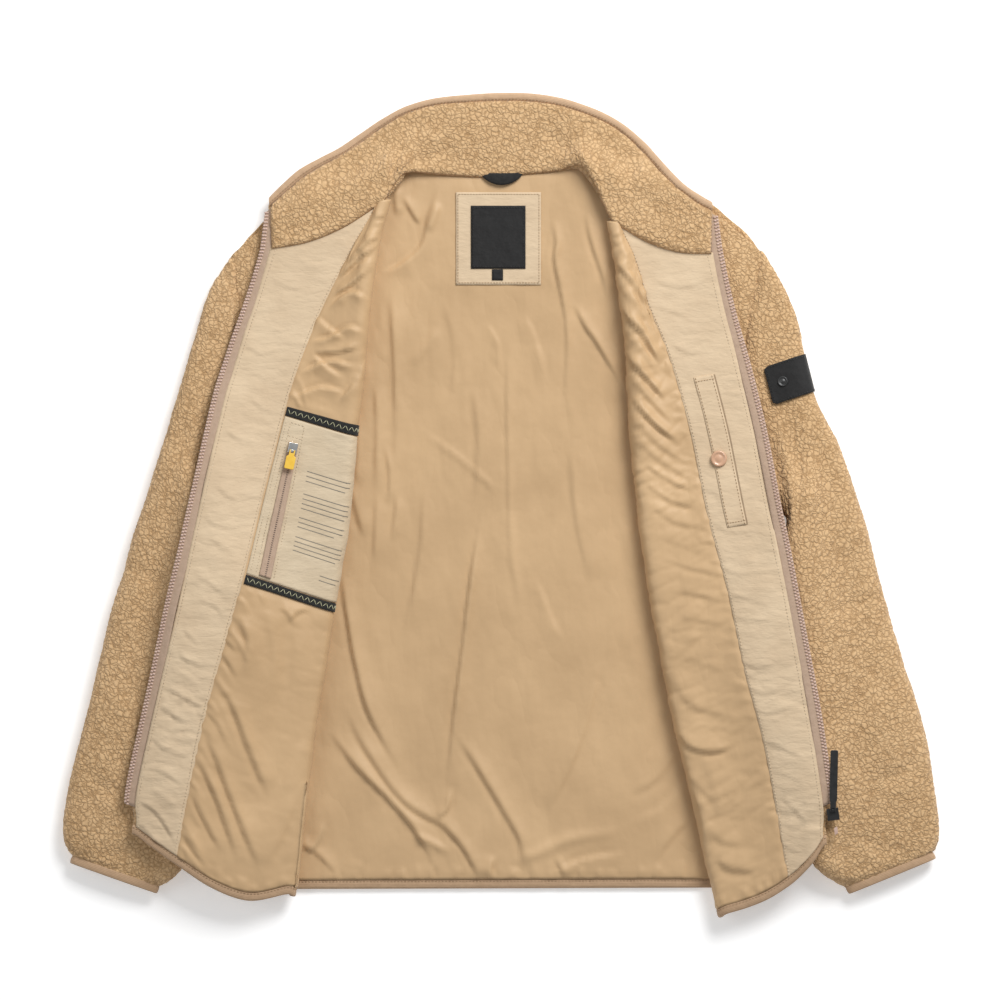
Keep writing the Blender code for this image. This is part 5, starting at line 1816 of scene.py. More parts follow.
@dataclass
class Sleeve:
    """One sleeve: a flattened tube from the armhole to the cuff, partly lying on the body's side.

    Attributes:
        side: Which sleeve.
        table: Its outline, one row for each ring.
        seam: x and y of the body's side below the armpit.
        folds: Its soft folds.
        pressed: Middle and radius of where a badge holds the pile down, if one does.
        sides: Points round a ring.
        squareness: How square a ring is; 2 is an oval.
        wall_share: Thickest wall, as a share of the tube's height.
        ramp: Distance from the body's side at which the sleeve starts to rise.
        near: Distance at which it has risen.
        clear: How high it then lies.
        lip: How far its end runs on into the armhole, and how far it dips there.
    """

    side: Side
    table: Grid
    seam: Grid
    folds: list[Fold]
    pressed: tuple[float, ...] = ()
    sides: int = 16
    squareness: float = 2.7
    wall_share: float = 0.19
    ramp: float = 66.0
    near: float = 28.0
    clear: float = 13.5
    lip: tuple[float, float] = (13.0, 9.0)

    def __post_init__(self) -> None:
        """Works out the tube's rings."""
        self.body = Ground({"back_outer": 0.0})
        sections = through(self.table, SLEEVE_RINGS)
        walls = np.minimum(FLEECE, self.wall_share * sections[:, -1])
        self.outer, self.inner = (
            np.array([self.ring(row, inset) for row, inset in zip(sections, insets)]) for insets in (walls * 0, walls)
        )

    def ring(self, row: Grid, inset: float) -> Grid:
        """One ring of the tube's wall.

        Args:
            row: Its row of the outline.
            inset: How far it lies inside the tube's outer face.

        Returns:
            Points once round.
        """
        outer, inner, bow, high = row[0:2], row[2:4], row[4], row[5]
        across = unit(inner - outer)
        ring = []
        for step in range(self.sides + 1):
            turn = math.tau * step / self.sides
            sideways = math.copysign(abs(math.cos(turn)) ** (2 / self.squareness), math.cos(turn))
            upward = math.copysign(abs(math.sin(turn)) ** (2 / self.squareness), math.sin(turn))
            share = 0.5 - 0.5 * sideways
            place = outer + share * (inner - outer)
            place[0] += self.side.value * bow * math.sin(math.pi * share)
            base = self.rest_height(place)
            place = place + across * inset * (1 - 2 * share)
            ring.append((*place, base + inset + (high - 2 * inset) * (0.5 + 0.5 * upward)))
        return np.array(ring)

    def rest_height(self, place: Grid) -> float:
        """Height of what the sleeve lies on: the surface, a ramp beside the body, or the body's side.

        Args:
            place: x and y.

        Returns:
            The height.
        """
        run = np.diff(self.seam, axis=0)
        along = np.clip(((place - self.seam[:-1]) * run).sum(1) / (run * run).sum(1), 0, 1)
        away = np.linalg.norm(place - self.seam[:-1] - along[:, None] * run, axis=1).min()
        if self.body.height(*place) > 0 and place[1] < self.seam[0, 1] + self.ramp:
            return self.clear + (UNDER_TOP + 0.6 - self.clear) * min(away / 3, 1)
        return self.clear * float(ease(np.array((self.ramp - away) / (self.ramp - self.near))))

    def walls(self, rings: Grid, turns: Grid) -> tuple[Grid, Grid]:
        """Smooth outer and inner faces of the wall at some rings and places round them.

        Args:
            rings: Ring numbers.
            turns: Places round a ring, in its own points.

        Returns:
            The outer and the inner face.
        """
        faces = []
        for face in (self.outer, self.inner):
            round_it = np.concatenate([face[:, -3:-1], face, face[:, 1:3]], axis=1)
            faces.append(resampled(round_it, rings, turns + 2))
        return faces[0], faces[1]

    def fleece(self, pile: Pile) -> None:
        """The fleece tube.

        Args:
            pile: Pile of the fleece.
        """
        half = self.sides // 2
        top = evenly(self.outer[5:8], 1, 1.5, 0, half)
        under = [np.linspace(half, half + 1, 6)[1:], np.linspace(half + 1, 15, 22)[1:], np.linspace(15, 16, 6)[1:]]
        turns = np.concatenate([top, *under])
        rings = evenly(self.outer, 0, 1.62)
        outer, _ = self.walls(rings, turns)
        _, inner = self.walls(np.linspace(0, len(SLEEVE_RINGS) - 1, 13)[::-1], turns)
        out = unit(np.cross(np.gradient(outer, axis=1), np.gradient(outer, axis=0))) * -self.side.value
        out[:, [0, -1]] = unit(out[:, [0]] + out[:, [-1]])
        lattice = pile.lattice
        soft = relief(outer[..., :2], self.folds) * np.clip(out[..., 2], 0, 1)
        soft = soft + 1.2 * lattice.smooth(outer, 42) + 0.5 * lattice.smooth(outer, 19)
        lip = np.linspace(1, 0, 7)[:-1, None, None]
        back = unit(outer[0] - outer[3])[None] * self.lip[0] * lip * np.clip(1.4 * out[:1, :, 2:] - 0.3, 0, 1)
        back[..., 2] = -self.lip[1] * lip[..., 0] ** 2 * np.clip(out[0, :, 2], 0, 1)
        outer = np.concatenate([outer[:1] + back, outer])
        out = np.concatenate([np.repeat(out[:1], len(lip), axis=0), out])
        soft = np.concatenate([np.repeat(soft[:1], len(lip), axis=0), soft])
        height = pile.height(outer)
        ends = ease(np.arange(len(outer))[::-1] / 4.0)[:, None]
        lift = pile.lift(height) + soft * ends - 1.2 * (1 - ends)
        if self.pressed:
            x, y, radius = self.pressed
            held = ease((radius + 10 - np.hypot(outer[..., 0] - x, outer[..., 1] - y)) / 10)
            lift = lift * (1 - held) - 0.4 * held
        points = outer + out * lift[..., None]
        points[..., 2] = np.maximum(points[..., 2], LOWEST)
        wall = np.concatenate([points, inner, points[:1]])
        kept = np.concatenate([height, np.full(inner.shape[:2], 0.6), height[:1]])
        piece = cloth(f"sleeve_{self.side.word}_fleece", wall, closed=True, pile=kept)
        dressed(piece, SHERPA, "fleece", replaces=(f"sleeve_{self.side.word}",))

    def cuff(self) -> None:
        """The binding round the cuff."""
        turns = np.linspace(0, self.sides, 97)
        outer, inner = (face[0] for face in self.walls(np.array([len(SLEEVE_RINGS) - 1.0]), turns))
        along = np.append(unit((self.outer[-1] - self.outer[-2]).mean(axis=0)[:2]), 0.0)
        section = Rim(width=8.6, thickness=0.94).section()
        wobble = wobbles(3, len(turns)) * 0.5
        wobble[-1] = wobble[0]
        middle, half = (outer + inner) / 2, (outer - inner) / 2
        points = (
            middle[None]
            + along * (section[:, 0, None, None] - 2.0)
            + half[None] * (section[:, 1, None, None] * 2)
            + unit(half)[None] * (np.maximum(section[:, 1, None], 0) * 2 * wobble[None])[..., None]
        )
        points[..., 2] = np.maximum(points[..., 2], LOWEST)
        piece = cloth(f"cuff_binding_{self.side.word}_tape", points, thickness=0.6, closed=True)
        dressed(piece, BINDING, "binding", replaces=(f"cuff_binding_{self.side.word}",))


# --- Collar ---

# Collar, from the left zip end to the right one. Columns: x and y at the seam, x and y at the bound edge.
COLLAR = placed((
    (-229.5, 256, -232, 305), (-202.5, 259.5, -202, 333), (-171.5, 270, -162, 355), (-141.5, 284.5, -124, 381),
    (-114.5, 303.5, -97, 396), (-109, 322, -78, 402), (-94, 335, -60, 405.5), (-62, 330.5, -36, 408),
    (-12, 327.8, -4, 410), (28, 331, 29, 409.5), (56, 334, 59, 405), (78, 338, 85, 397), (92, 322, 106, 388),
    (102, 303, 125, 376), (108.5, 283, 144, 359), (129, 269.5, 161, 340), (153.5, 259.5, 180, 320),
    (183.5, 253.5, 197, 308), (209.5, 251, 210.5, 300),
), 1, 3)
COLLAR_FOLDS = folded(
    (-2.2, 7.0, N, -92, 336, -70, 344, -44, 356),
    (1.6, 8.0, N, -104, 352, -82, 362, -56, 368),
    (-1.6, 6.0, N, -136, 312, -116, 324, -98, 338),
    (-2.0, 8.0, N, 42, 378, 62, 352, 84, 336),
    (1.6, 9.0, N, 64, 384, 84, 362, 98, 336),
    (-1.4, 9.0, N, -190, 300, -172, 318, -160, 338),
    (-1.3, 8.0, N, 140, 312, 150, 296, 158, 276),
)


@dataclass
class Collar:
    """The stand collar, laid open with its inner face up.

    Attributes:
        fronts: The fronts, whose first rows the collar's seam follows.
        shoulders: Rows of COLLAR between which its seam leaves the fronts.
        seam_heights: Height of the seam at each station between them.
        flat_stations: Stations where it lies on the surface over its whole width.
        width_stops: Where its rows lie, from the seam to the edge.
        overlap: How far it reaches under the seam.
        edge_in: How far it stops short of the bound edge.
        roll_level: Highest that its ends lie on the fronts.
        clear: Air between it and what it lies on.
        reach: How far round a point what lies below counts.
        sag: How far it drops between its supports.
        inner_level: Height of its inner face over its underside.
    """

    fronts: dict[Side, Front]
    shoulders: tuple[int, int] = (4, 14)
    seam_heights: tuple[float, ...] = (12.5, 9.0, 2.5, 0.0, 0.0, 2.5, 9.0, 12.5, 14.5)
    flat_stations: tuple[int, int] = (8, 9)
    width_stops: tuple[float, ...] = (0.0, 0.2, 0.45, 0.7, 1.0)
    overlap: float = 1.6
    edge_in: float = 7.5
    roll_level: float = 16.6
    clear: float = 1.2
    reach: float = 10.0
    sag: float = 1.2
    inner_level: float = FLEECE * 1.5 + 3 * GAP + 2.15

    def __post_init__(self) -> None:
        """Drapes the collar."""
        left, right = (self.fronts[side].points[0, Front.SEAM:Front.FOLD + 1] for side in Side)
        shares = np.arange(len(left)) / (len(left) - 1)
        first, last = self.shoulders
        stations = np.concatenate(
            [first * shares, np.arange(first + 1, last), last + (len(COLLAR) - 1 - last) * shares]
        )
        table = through(COLLAR, stations)
        seam = np.concatenate([left[:, :2], table[len(left):-len(right), :2], right[::-1, :2]])
        ends = [np.minimum(row[:, 2] - FLEECE / 2, self.roll_level) for row in (left, right[::-1])]
        edge = table[:, 2:4]
        edge = edge - unit(edge - seam) * self.edge_in
        station = np.arange(len(seam))
        corners = (len(left) - 1, len(seam) - len(right))
        near = sum(np.exp(-(((station - corner) / 1.6) ** 2)) for corner in corners)
        seam = seam - unit(edge - seam) * self.overlap
        for _ in range(3):
            seam[1:-1] += np.minimum(near, 1.0)[1:-1, None] * (evened(seam) - seam[1:-1])
        self.corners = seam[list(corners)]
        widths = np.array(self.width_stops)[:, None, None]
        plan = seam[None] * (1 - widths) + edge[None] * widths
        held = np.full(plan.shape[:2], np.nan)
        ends[0][-2:] = np.linspace(ends[0][-3], self.seam_heights[0], 4)[1:3]
        ends[1][:2] = np.linspace(self.seam_heights[-1], ends[1][2], 4)[1:3]
        held[0] = np.concatenate([ends[0], self.seam_heights, ends[1]])
        held[:, [len(left) + station - first - 1 for station in self.flat_stations]] = 0.0
        ground = Ground({"back_outer": UNDER_TOP - FLEECE})
        bottom = ground.draped(plan, self.clear, self.reach, held, self.sag)
        self.points = np.concatenate([plan, bottom[..., None]], axis=2)

    def layer(self, spacing: float, level: float) -> Grid:
        """A fine grid over the collar at one level above its underside.

        Args:
            spacing: Distance between its points.
            level: Height over the underside.

        Returns:
            Grid of points.
        """
        rows, columns = evenly(self.points, 0, spacing), evenly(self.points, 1, spacing)
        fine = untangled(resampled(self.points, rows, columns))
        fine[..., 2] += level
        return fine

    def inner(self, pile: Pile) -> None:
        """The fleece that shows.

        Args:
            pile: Pile of the fleece.
        """
        base = self.layer(1.5, self.inner_level)
        out = normals(base, -1)
        over = lengths(base)
        to_end = np.minimum(over[..., 0], over[:, -1:, 0] - over[..., 0])
        to_seam, to_edge = over[..., 1], over[-1:, :, 1] - over[..., 1]
        rounded = 3.4 * (1 - np.sqrt(1 - (1 - np.clip(np.minimum(to_end, to_seam) / 6.0, 0, 1)) ** 2))
        height = pile.height(base)
        soft = relief(base[..., :2], COLLAR_FOLDS) + 1.0 * pile.lattice.smooth(base, 36)
        apart = np.linalg.norm(base[:, :, None, :2] - self.corners, axis=3).min(axis=2)
        turned = np.exp(-((apart / 16.0) ** 2))[..., None]
        out = unit(out * (1 - turned) + turned * np.array([0.0, 0.0, 1.0]))
        calm = ease(to_seam / 4) * (1 - 0.9 * np.exp(-((apart / 11.0) ** 2)))
        lift = pile.lift(height) * calm + soft * ease(to_edge / 12) * ease(to_seam / 8) - rounded
        lift = lift - 1.2 * (1 - ease(to_edge / 4))
        piece = cloth("collar_inner_fleece", base + out * lift[..., None], -1, 3.0, pile=height)
        dressed(piece, SHERPA, "fleece", replaces=("collar_inner",))

    def outer(self, pile: Pile) -> None:
        """The fleece underneath.

        Args:
            pile: Pile of the fleece.
        """
        base = self.layer(4.0, 0.4)
        height = pile.height(base)
        points = base - normals(base, -1) * (0.6 * (height - 0.5))[..., None]
        points[..., 2] = np.maximum(points[..., 2], LOWEST)
        piece = cloth("collar_outer_fleece", points, 1, FLEECE_WALL, pile=height)
        dressed(piece, SHERPA, "fleece", replaces=("collar_outer",))

    def binding(self, thread: Thread) -> None:
        """The tape over the collar's edge.

        Args:
            thread: Thread of its stitches.
        """
        level = FLEECE + GAP / 2
        columns = evenly(self.points, 1, 2.4)
        fine = resampled(self.points, np.array([3.9, 3.95, 4.0]), columns)
        line = fine[-1] + (0, 0, level)
        outward = unit(fine[2] - fine[1])
        line[:, 2] = np.maximum(line[:, 2], 5.1)
        outward[:, 2] = np.maximum(outward[:, 2], -0.08)
        rim = Rim(width=9.6, thickness=9.4, square=2.5)
        rim.build("collar_binding", line - outward * 1.2, unit(outward), -1, thread)


# --- Main zip ---


def refined(node: str, finish: Finish, slot: str, bevel: float, body: str = "jacket") -> None:
    """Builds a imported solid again, with softened edges.

    Args:
        node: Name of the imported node.
        finish: Its finish.
        slot: Its slot.
        bevel: Width of the softened edges.
        body: Body that it rides on.
    """
    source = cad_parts[node]
    bm = bmesh.new()
    bm.from_mesh(source.data)
    bmesh.ops.transform(bm, matrix=source.matrix_world, verts=bm.verts[:])
    bmesh.ops.remove_doubles(bm, verts=bm.verts[:], dist=0.00001)
    bmesh.ops.dissolve_limit(bm, angle_limit=math.radians(2), verts=bm.verts[:], edges=bm.edges[:])
    sharp = [edge for edge in bm.edges if edge.is_manifold and edge.calc_face_angle(0) > math.radians(28)]
    bmesh.ops.bevel(
        bm, geom=sharp, offset=bevel * MM, offset_type="OFFSET", segments=2, profile=0.5, affect="EDGES", material=-1,
        clamp_overlap=True,
    )
    dressed(linked(f"{node}_moulded", bm, smooth=False), finish, slot, body, (node,))


@dataclass(frozen=True)
class MainZip:
    """One side of the main zip: tape, teeth and end part, from the collar's bound edge to the hem.

    Attributes:
        pitch: Distance between the teeth of one row.
        tooth: Size of a tooth along the zip, across it and upward.
        rows: How far each row of teeth lies from the middle of the strip.
        at_edge: How far the strip lies from the collar's end, at its bound edge and at its seam.
    """

    pitch: float = 3.3
    tooth: tuple[float, float, float] = (1.75, 2.7, 2.3)
    rows: tuple[float, float] = (1.25, -1.25)
    at_edge: tuple[float, float] = (3.6, 9.4)

    def paths(self, front: Front, collar: Collar) -> tuple[Grid, Grid]:
        """The middle line of the teeth, and the direction outward from the jacket at each point.

        Args:
            front: The front that it is sewn to.
            collar: The collar.

        Returns:
            Points and directions.
        """
        end, past = (0, 1) if front.side == 1 else (-1, -2)
        edge = resampled(collar.points, np.linspace(3.75, 0.0, 16), np.arange(collar.points.shape[1], dtype=float))
        outward = unit(edge[:, end] - edge[:, past])
        outward[:, 2] = 0
        outward = unit(outward)
        reach = np.linspace(*self.at_edge, len(edge))
        above = edge[:, end] + outward * reach[:, None]
        above[:, 2] += FLEECE + 0.6
        rows = front.down(5.0, 0, front.row(front.cut.chain_end))
        below = front.at(rows, np.full(1, 0.55), FLEECE / 2 + GAP + LINING / 2)[:, 0]
        inward = front.at(rows, np.full(1, 1.2), FLEECE / 2 + GAP + LINING / 2)[:, 0]
        line = np.concatenate([above[:-1], below])
        out = np.concatenate([outward[:-1], unit(below - inward)])
        for _ in range(6):
            line[1:-1], out[1:-1] = evened(line), evened(out)
        return line, unit(out)

    def build(self, front: Front, collar: Collar, thread: Thread) -> None:
        """Builds this side of the zip.

        Args:
            front: The front that it is sewn to.
            collar: The collar.
            thread: Thread of its stitches.
        """
        line, out = self.paths(front, collar)
        places = np.concatenate([
            frames(line + out * shift, out, self.pitch, self.tooth, start)
            for shift, start in zip(self.rows, (0.25, 0.75))
        ])
        tooth = bmesh.new()
        bmesh.ops.create_cube(tooth, size=1.0)
        bmesh.ops.bevel(
            tooth, geom=tooth.edges[:], offset=0.22, offset_type="OFFSET", segments=1, profile=0.5, affect="EDGES",
            material=-1,
        )
        teeth = scattered(f"zip_teeth_{front.word}", tooth, places)
        ends = ("zip_pin",) if front.side == 1 else ()
        dressed(teeth, CHAIN, "zip_teeth", replaces=(f"zip_chain_{front.word}", *ends))

        up = unit(np.cross(out, np.gradient(line, axis=0)))
        up = up * np.sign(up[:, 2:3])
        steps = np.array((2.6, 0.9, -0.9, -2.6, -4.2, -6.4, -8.6, -10.4))
        levels = np.array((-0.5, 0.0, 0.0, -0.1, 0.1, 0.25, 0.2, -0.1))
        tape = line[:, None] + out[:, None] * steps[None, :, None] + up[:, None] * levels[None, :, None]
        node, on = f"zip_tape_{front.word}", f"front_{front.word}_fleece"
        sewn(node, tape, front.side, FACING_WALL, TAPE, "zip_tape")
        column = front.SEAM + 0.2
        seam = front.at(front.down(6.0, 0.1), np.array([column, column + 0.1]), LINING_LEVEL + 0.3)
        thread.run(seam[:, 0], seam[:, 1] - seam[:, 0])


# --- Pockets ---

PANEL = Crinkle((0.61, 0.485, 0.33), (0.68, 0.555, 0.39))
# Painted shadow: a dark colour for a strip along the welt's edge, where shade falls.
WELT_SHADOW = Moulded("welt edge shadow", (0.30, 0.21, 0.13), (0.38, 0.27, 0.17), 0.9)
RULED = Moulded("ruled lines", (0.20, 0.18, 0.15), (0.27, 0.24, 0.20), 0.85)
PATCH_LEVEL = LINING_LEVEL + 0.8


def strips(name: str, grids: list[Grid], finish: Finish, slot: str, side: int) -> None:
    """Several narrow strips of cloth as one piece.

    Args:
        name: Name of the piece.
        grids: Grid of points of each strip.
        finish: Its finish.
        slot: Its slot.
        side: Which way the columns run.
    """
    bm = bmesh.new()
    for points in grids:
        part = cloth(name, points, side, 0.0)
        bm.from_mesh(part.data)
        bpy.data.meshes.remove(part.data)
    dressed(linked(name, bm), finish, slot)


@dataclass
class InnerPocket:
    """The zipped pocket on the left front's lining, in the front's sections and columns.

    Attributes:
        front: The left front.
        lattice: Noise for its small wrinkles.
        sections: Middle of its upper and of its lower tape.
        tape_half: Half of a tape's width.
        slope: How much wider its upper tape is.
        zip_start: Where its zip starts.
        ruled_blocks: Each block of ruled lines: first section, count, first and last column past the facing.
    """

    front: Front
    lattice: Lattice
    sections: tuple[float, float] = (5.0, 7.0)
    tape_half: float = 0.056
    slope: float = 0.079
    zip_start: float = 5.36
    ruled_blocks: tuple[tuple[float, int, float, float], ...] = (
        (5.62, 3, 1.5, 4.0), (5.86, 4, 1.5, 4.2), (6.12, 3, 1.5, 3.6), (6.34, 4, 1.5, 4.0), (6.68, 2, 2.6, 4.4),
    )

    def patch(
        self, start: float, end: float, level: float, spacing: float = 2.2, first: float = Front.FACING + 0.05,
        last: float = Front.FOLD + 0.4, wrinkle: float = 0.0,
    ) -> Grid:
        """Points over part of the front.

        Args:
            start: First section.
            end: Last section.
            level: Height over the middle of the fleece.
            spacing: Distance between points.
            first: First column.
            last: Last column.
            wrinkle: Height of its small wrinkles.

        Returns:
            Grid of points.
        """
        front = self.front
        rows = front.down(spacing, front.row(start), front.row(end))
        columns = front.over(spacing, first, last)
        base = front.at(rows, columns, level)
        lift = level + wrinkle * np.maximum(self.lattice.smooth(base * (0.8, 1.3, 1.0), 17), -0.4)
        return front.at(rows, columns, lift)

    def build(self, thread: Thread, lime: Thread, dark: Thread) -> None:
        """Builds the panel, its tapes, zip, stitches and ruled lines.

        Args:
            thread: Thread of its stitches.
            lime: Thread of the zigzags.
            dark: Coil of the zip.
        """
        front = self.front
        top, bottom = self.sections
        panel = self.patch(top + self.tape_half + 0.01, bottom - self.tape_half - 0.01, PATCH_LEVEL, wrinkle=0.7)
        sewn("pocket_panel", panel, front.side, LINING_WALL, PANEL, "facing")
        runs = (
            ("pocket_tape_top", top - self.tape_half - self.slope, top + self.tape_half),
            ("pocket_tape_bottom", bottom - self.tape_half, bottom + self.tape_half),
        )
        for name, start, end in runs:
            tape = self.patch(start, end, PATCH_LEVEL + 0.5, 1.6)
            sewn(name, tape, front.side, LINING_WALL, BLACK_TAPE, "black_cloth")
            middle = (tape[0] + tape[-1]) / 2 + np.array([0, 0, 0.3])
            lime.zigzag(middle, unit(tape[0] - tape[-1]), 3.2, 2.5)
        zip_columns = (front.FACING + 0.5, front.FACING + 0.92)
        tape = self.patch(self.zip_start, bottom - 0.1, PATCH_LEVEL + 1.7, 1.4, *zip_columns)
        piece = cloth("pocket_zip_cloth", tape, front.side, 1.5)
        dressed(piece, TAPE, "zip_tape", replaces=("pocket_zip_tape",))
        centre = tape[:, tape.shape[1] // 2] + np.array([0, 0, 0.15])
        out = tape[:, 0] - tape[:, -1]
        dark.run(centre, out, 2.1)
        for column, pitch in ((zip_columns[0] - 0.12, 3.0), (zip_columns[1] + 0.12, 3.0), (zip_columns[0] - 0.32, 3.0)):
            seam = self.patch(self.zip_start - 0.24, bottom - 0.12, PATCH_LEVEL + 0.35, 5.0, column, column + 0.1)
            thread.run(seam[:, 0], seam[:, 1] - seam[:, 0], pitch)
        ends = (zip_columns[0] - 0.12, zip_columns[1] + 0.12)
        for section in (self.zip_start - 0.24, self.zip_start - 0.07):
            seam = self.patch(section, section + 0.02, PATCH_LEVEL + 0.35, 3.0, *ends)
            thread.run(seam[0], seam[0] - seam[-1], 3.0)
        lines = []
        for start, count, begin, last in self.ruled_blocks:
            for step in range(count):
                section = start + 0.052 * step
                short = last - (0.7 if step == count - 1 else 0.1 * (step % 2))
                ends = (front.FACING + begin, front.FACING + short)
                line = self.patch(section, section + 0.0075, PATCH_LEVEL + 0.1, 0.6, *ends, wrinkle=0.7)
                lines.append(line + (0, 0, 0.12))
        strips("pocket_ruled_lines", lines, RULED, "facing", front.side)
        refined("pocket_slider", STEEL, "nickel", 0.5)
        refined("pocket_pull", YELLOW, "yellow_rubber", 0.45, "pocket_pull")


@dataclass(frozen=True)
class WeltPocket:
    """The stitched welt of the right facing, with its snap.

    Attributes:
        sections: Where it starts and ends down the front.
        columns: Its two long sides, in columns past the zip seam.
        snap_at: Section and column of its snap.
        snap_radius: The snap's radius.
    """

    sections: tuple[float, float] = (3.87, 6.2)
    columns: tuple[float, float] = (1.23, 2.18)
    snap_at: tuple[float, float] = (5.35, 1.91)
    snap_radius: float = 8.0

    def build(self, front: Front, lattice: Lattice, thread: Thread) -> None:
        """Builds the welt, its stitches and its snap.

        Args:
            front: The right front.
            lattice: Noise for its lumps.
            thread: Thread of its stitches.
        """
        rows = front.down(2.2, *(front.row(section) for section in self.sections))
        columns = front.over(1.8, *(front.SEAM + column for column in self.columns))
        level = LINING_LEVEL + 0.75
        base = front.at(rows, columns, level)
        points = front.at(rows, columns, level + 0.35 * lattice.smooth(base, 12))
        sewn("welt_pocket", points, front.side, FACING_WALL, CRINKLE, "facing")
        # A thin dark strip along the welt's first long side, painted as its shadow.
        edge = front.at(rows, np.array([columns[0] - 0.07, columns[0]]), LINING_LEVEL + 0.55)
        strips("welt_shadow_strip", [edge], WELT_SHADOW, "facing", front.side)
        lift = np.array([0, 0, 0.25])
        for row in (2, -3):
            thread.run(points[row] + lift, points[row] - points[row + 1], 2.6)
        for column in (1, -2):
            thread.run(points[:, column] + lift, points[:, column] - points[:, column - 1 if column < 0 else 0], 3.4)
        section, column = self.snap_at
        place = np.array([front.row(section)]), np.array([front.SEAM + column])
        spot = front.at(*place, FLEECE / 2 + GAP + LINING + PATCH_GAP + 1.4)[0, 0]
        snap("snap_button", spot, (0, 0, 1), self.snap_radius, PEACH, "snap_enamel")


# Outline of a snap, from its middle out. Columns: share of the radius, height.
SNAP_PROFILE = (
    (0.0, 1.7), (0.34, 1.65), (0.46, 1.15), (0.6, 1.1), (0.72, 1.8), (0.84, 2.2), (0.95, 1.9), (1.0, 1.1), (1.0, 0.0),
)


def snap(
    node: str, place: Grid, upward: tuple[float, float, float] | Grid, radius: float, finish: Finish, slot: str
) -> None:
    """A round snap with a raised rim and a shallow dish.

    Args:
        node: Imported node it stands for.
        place: Middle of its underside.
        upward: Direction it faces.
        radius: Its radius.
        finish: Its finish.
        slot: Its slot.
    """
    bm = bmesh.new()
    line = [bm.verts.new((share * radius * MM, 0, high * MM)) for share, high in SNAP_PROFILE]
    edges = [bm.edges.new(pair) for pair in zip(line[:-1], line[1:])]
    bmesh.ops.spin(bm, geom=line + edges, axis=(0, 0, 1), cent=(0, 0, 0), angle=math.tau, steps=32, use_merge=True)
    bmesh.ops.remove_doubles(bm, verts=bm.verts[:], dist=0.00001)
    rim = [edge for edge in bm.edges if edge.is_boundary]
    bmesh.ops.holes_fill(bm, edges=rim, sides=0)
    bmesh.ops.recalc_face_normals(bm, faces=bm.faces[:])
    turned = Vector(upward).to_track_quat("Z", "Y").to_matrix().to_4x4()
    bmesh.ops.transform(bm, matrix=Matrix.Translation(Vector(place) * MM) @ turned, verts=bm.verts[:])
    dressed(linked(f"{node}_dish", bm), finish, slot, replaces=(node,))


# --- Neck and badge ---

# What lies on the back lining below the neck. Columns: x of both sides, y of top and bottom, height over the lining.
NECK_PIECES = {
    "neck_patch": (-45.5, 39.5, 311.5 + CENTRE_SHIFT_Y, 219.0 + CENTRE_SHIFT_Y, 1.9),
    "neck_label": (-30.5, 24.0, 298.0 + CENTRE_SHIFT_Y, 235.0 + CENTRE_SHIFT_Y, 2.8),
    "size_tab": (-9.5, 1.5, 234.4 + CENTRE_SHIFT_Y, 223.5 + CENTRE_SHIFT_Y, 2.8),
}


@dataclass(frozen=True)
class NeckPieces:
    """The patch, label, size tab and hanger loop inside the back neck.

    Attributes:
        hanger_half: Half of the loop's width.
        hanger_rise: How high the loop arches.
        hanger_y: y of its upper and of its lower edge.
        hanger_dip: How far each edge hangs down in the middle.
    """

    hanger_half: float = 21.5
    hanger_rise: float = 4.0
    hanger_y: tuple[float, float] = (331.4 + CENTRE_SHIFT_Y, 329.0 + CENTRE_SHIFT_Y)
    hanger_dip: tuple[float, float] = (1.0, 10.5)

    def build(self, back: Back, lattice: Lattice, thread: Thread, dark: Thread) -> None:
        """Builds the four pieces, each with its stitches.

        Args:
            back: The back that they lie on.
            lattice: Noise for its lumps.
            thread: Thread of the patch.
            dark: Thread of the label.
        """
        for name, (left, right, top, bottom, lift) in NECK_PIECES.items():
            fabric = name == "neck_patch"
            xs, ys = np.arange(left, right + 1.0, 2.0), np.arange(top, bottom - 1.0, -2.0)
            xs, ys = np.linspace(left, right, len(xs)), np.linspace(top, bottom, len(ys))
            plan = np.stack(np.meshgrid(xs, ys), axis=2)
            flat = level_grid(plan, BACK_LINING_TOP)
            rise = back.folds(plan) + lift + 0.35 * lattice.smooth(flat, 18) * (1.0 if fabric else 0.4)
            points = flat.copy()
            points[..., 2] += rise
            finish, slot = (CRINKLE, "facing") if fabric else (SATIN, "black_cloth")
            sewn(name, points, 1, 0.7, finish, slot)
            ring = [points[1, 1:-1], points[1:-1, -2], points[-2, -2:0:-1], points[-2:0:-1, 1]]
            for side in ring if name != "size_tab" else ():
                across = np.cross(np.gradient(side, axis=0), (0, 0, 1.0))
                (thread if fabric else dark).run(side + (0, 0, 0.2), across, 2.8)
        steps = np.linspace(-1, 1, 33)
        arch = np.cos(math.pi / 2 * steps) ** 0.7
        level = BACK_LINING_TOP + 1.8
        rows = []
        for share in np.linspace(0, 1, 6):
            y = self.hanger_y[0] * (1 - share) + self.hanger_y[1] * share
            dip = self.hanger_dip[0] * (1 - share) + self.hanger_dip[1] * share
            high = level + self.hanger_rise * arch * (0.75 + 0.25 * math.sin(math.pi * share))
            rows.append(np.column_stack([self.hanger_half * steps * (1 - 0.04 * share), y - dip * arch, high]))
        loop, on = np.array(rows), "back_lining_cloth"
        sewn("hanger_loop", loop, 1, LINING_WALL, BLACK_TAPE, "black_cloth")


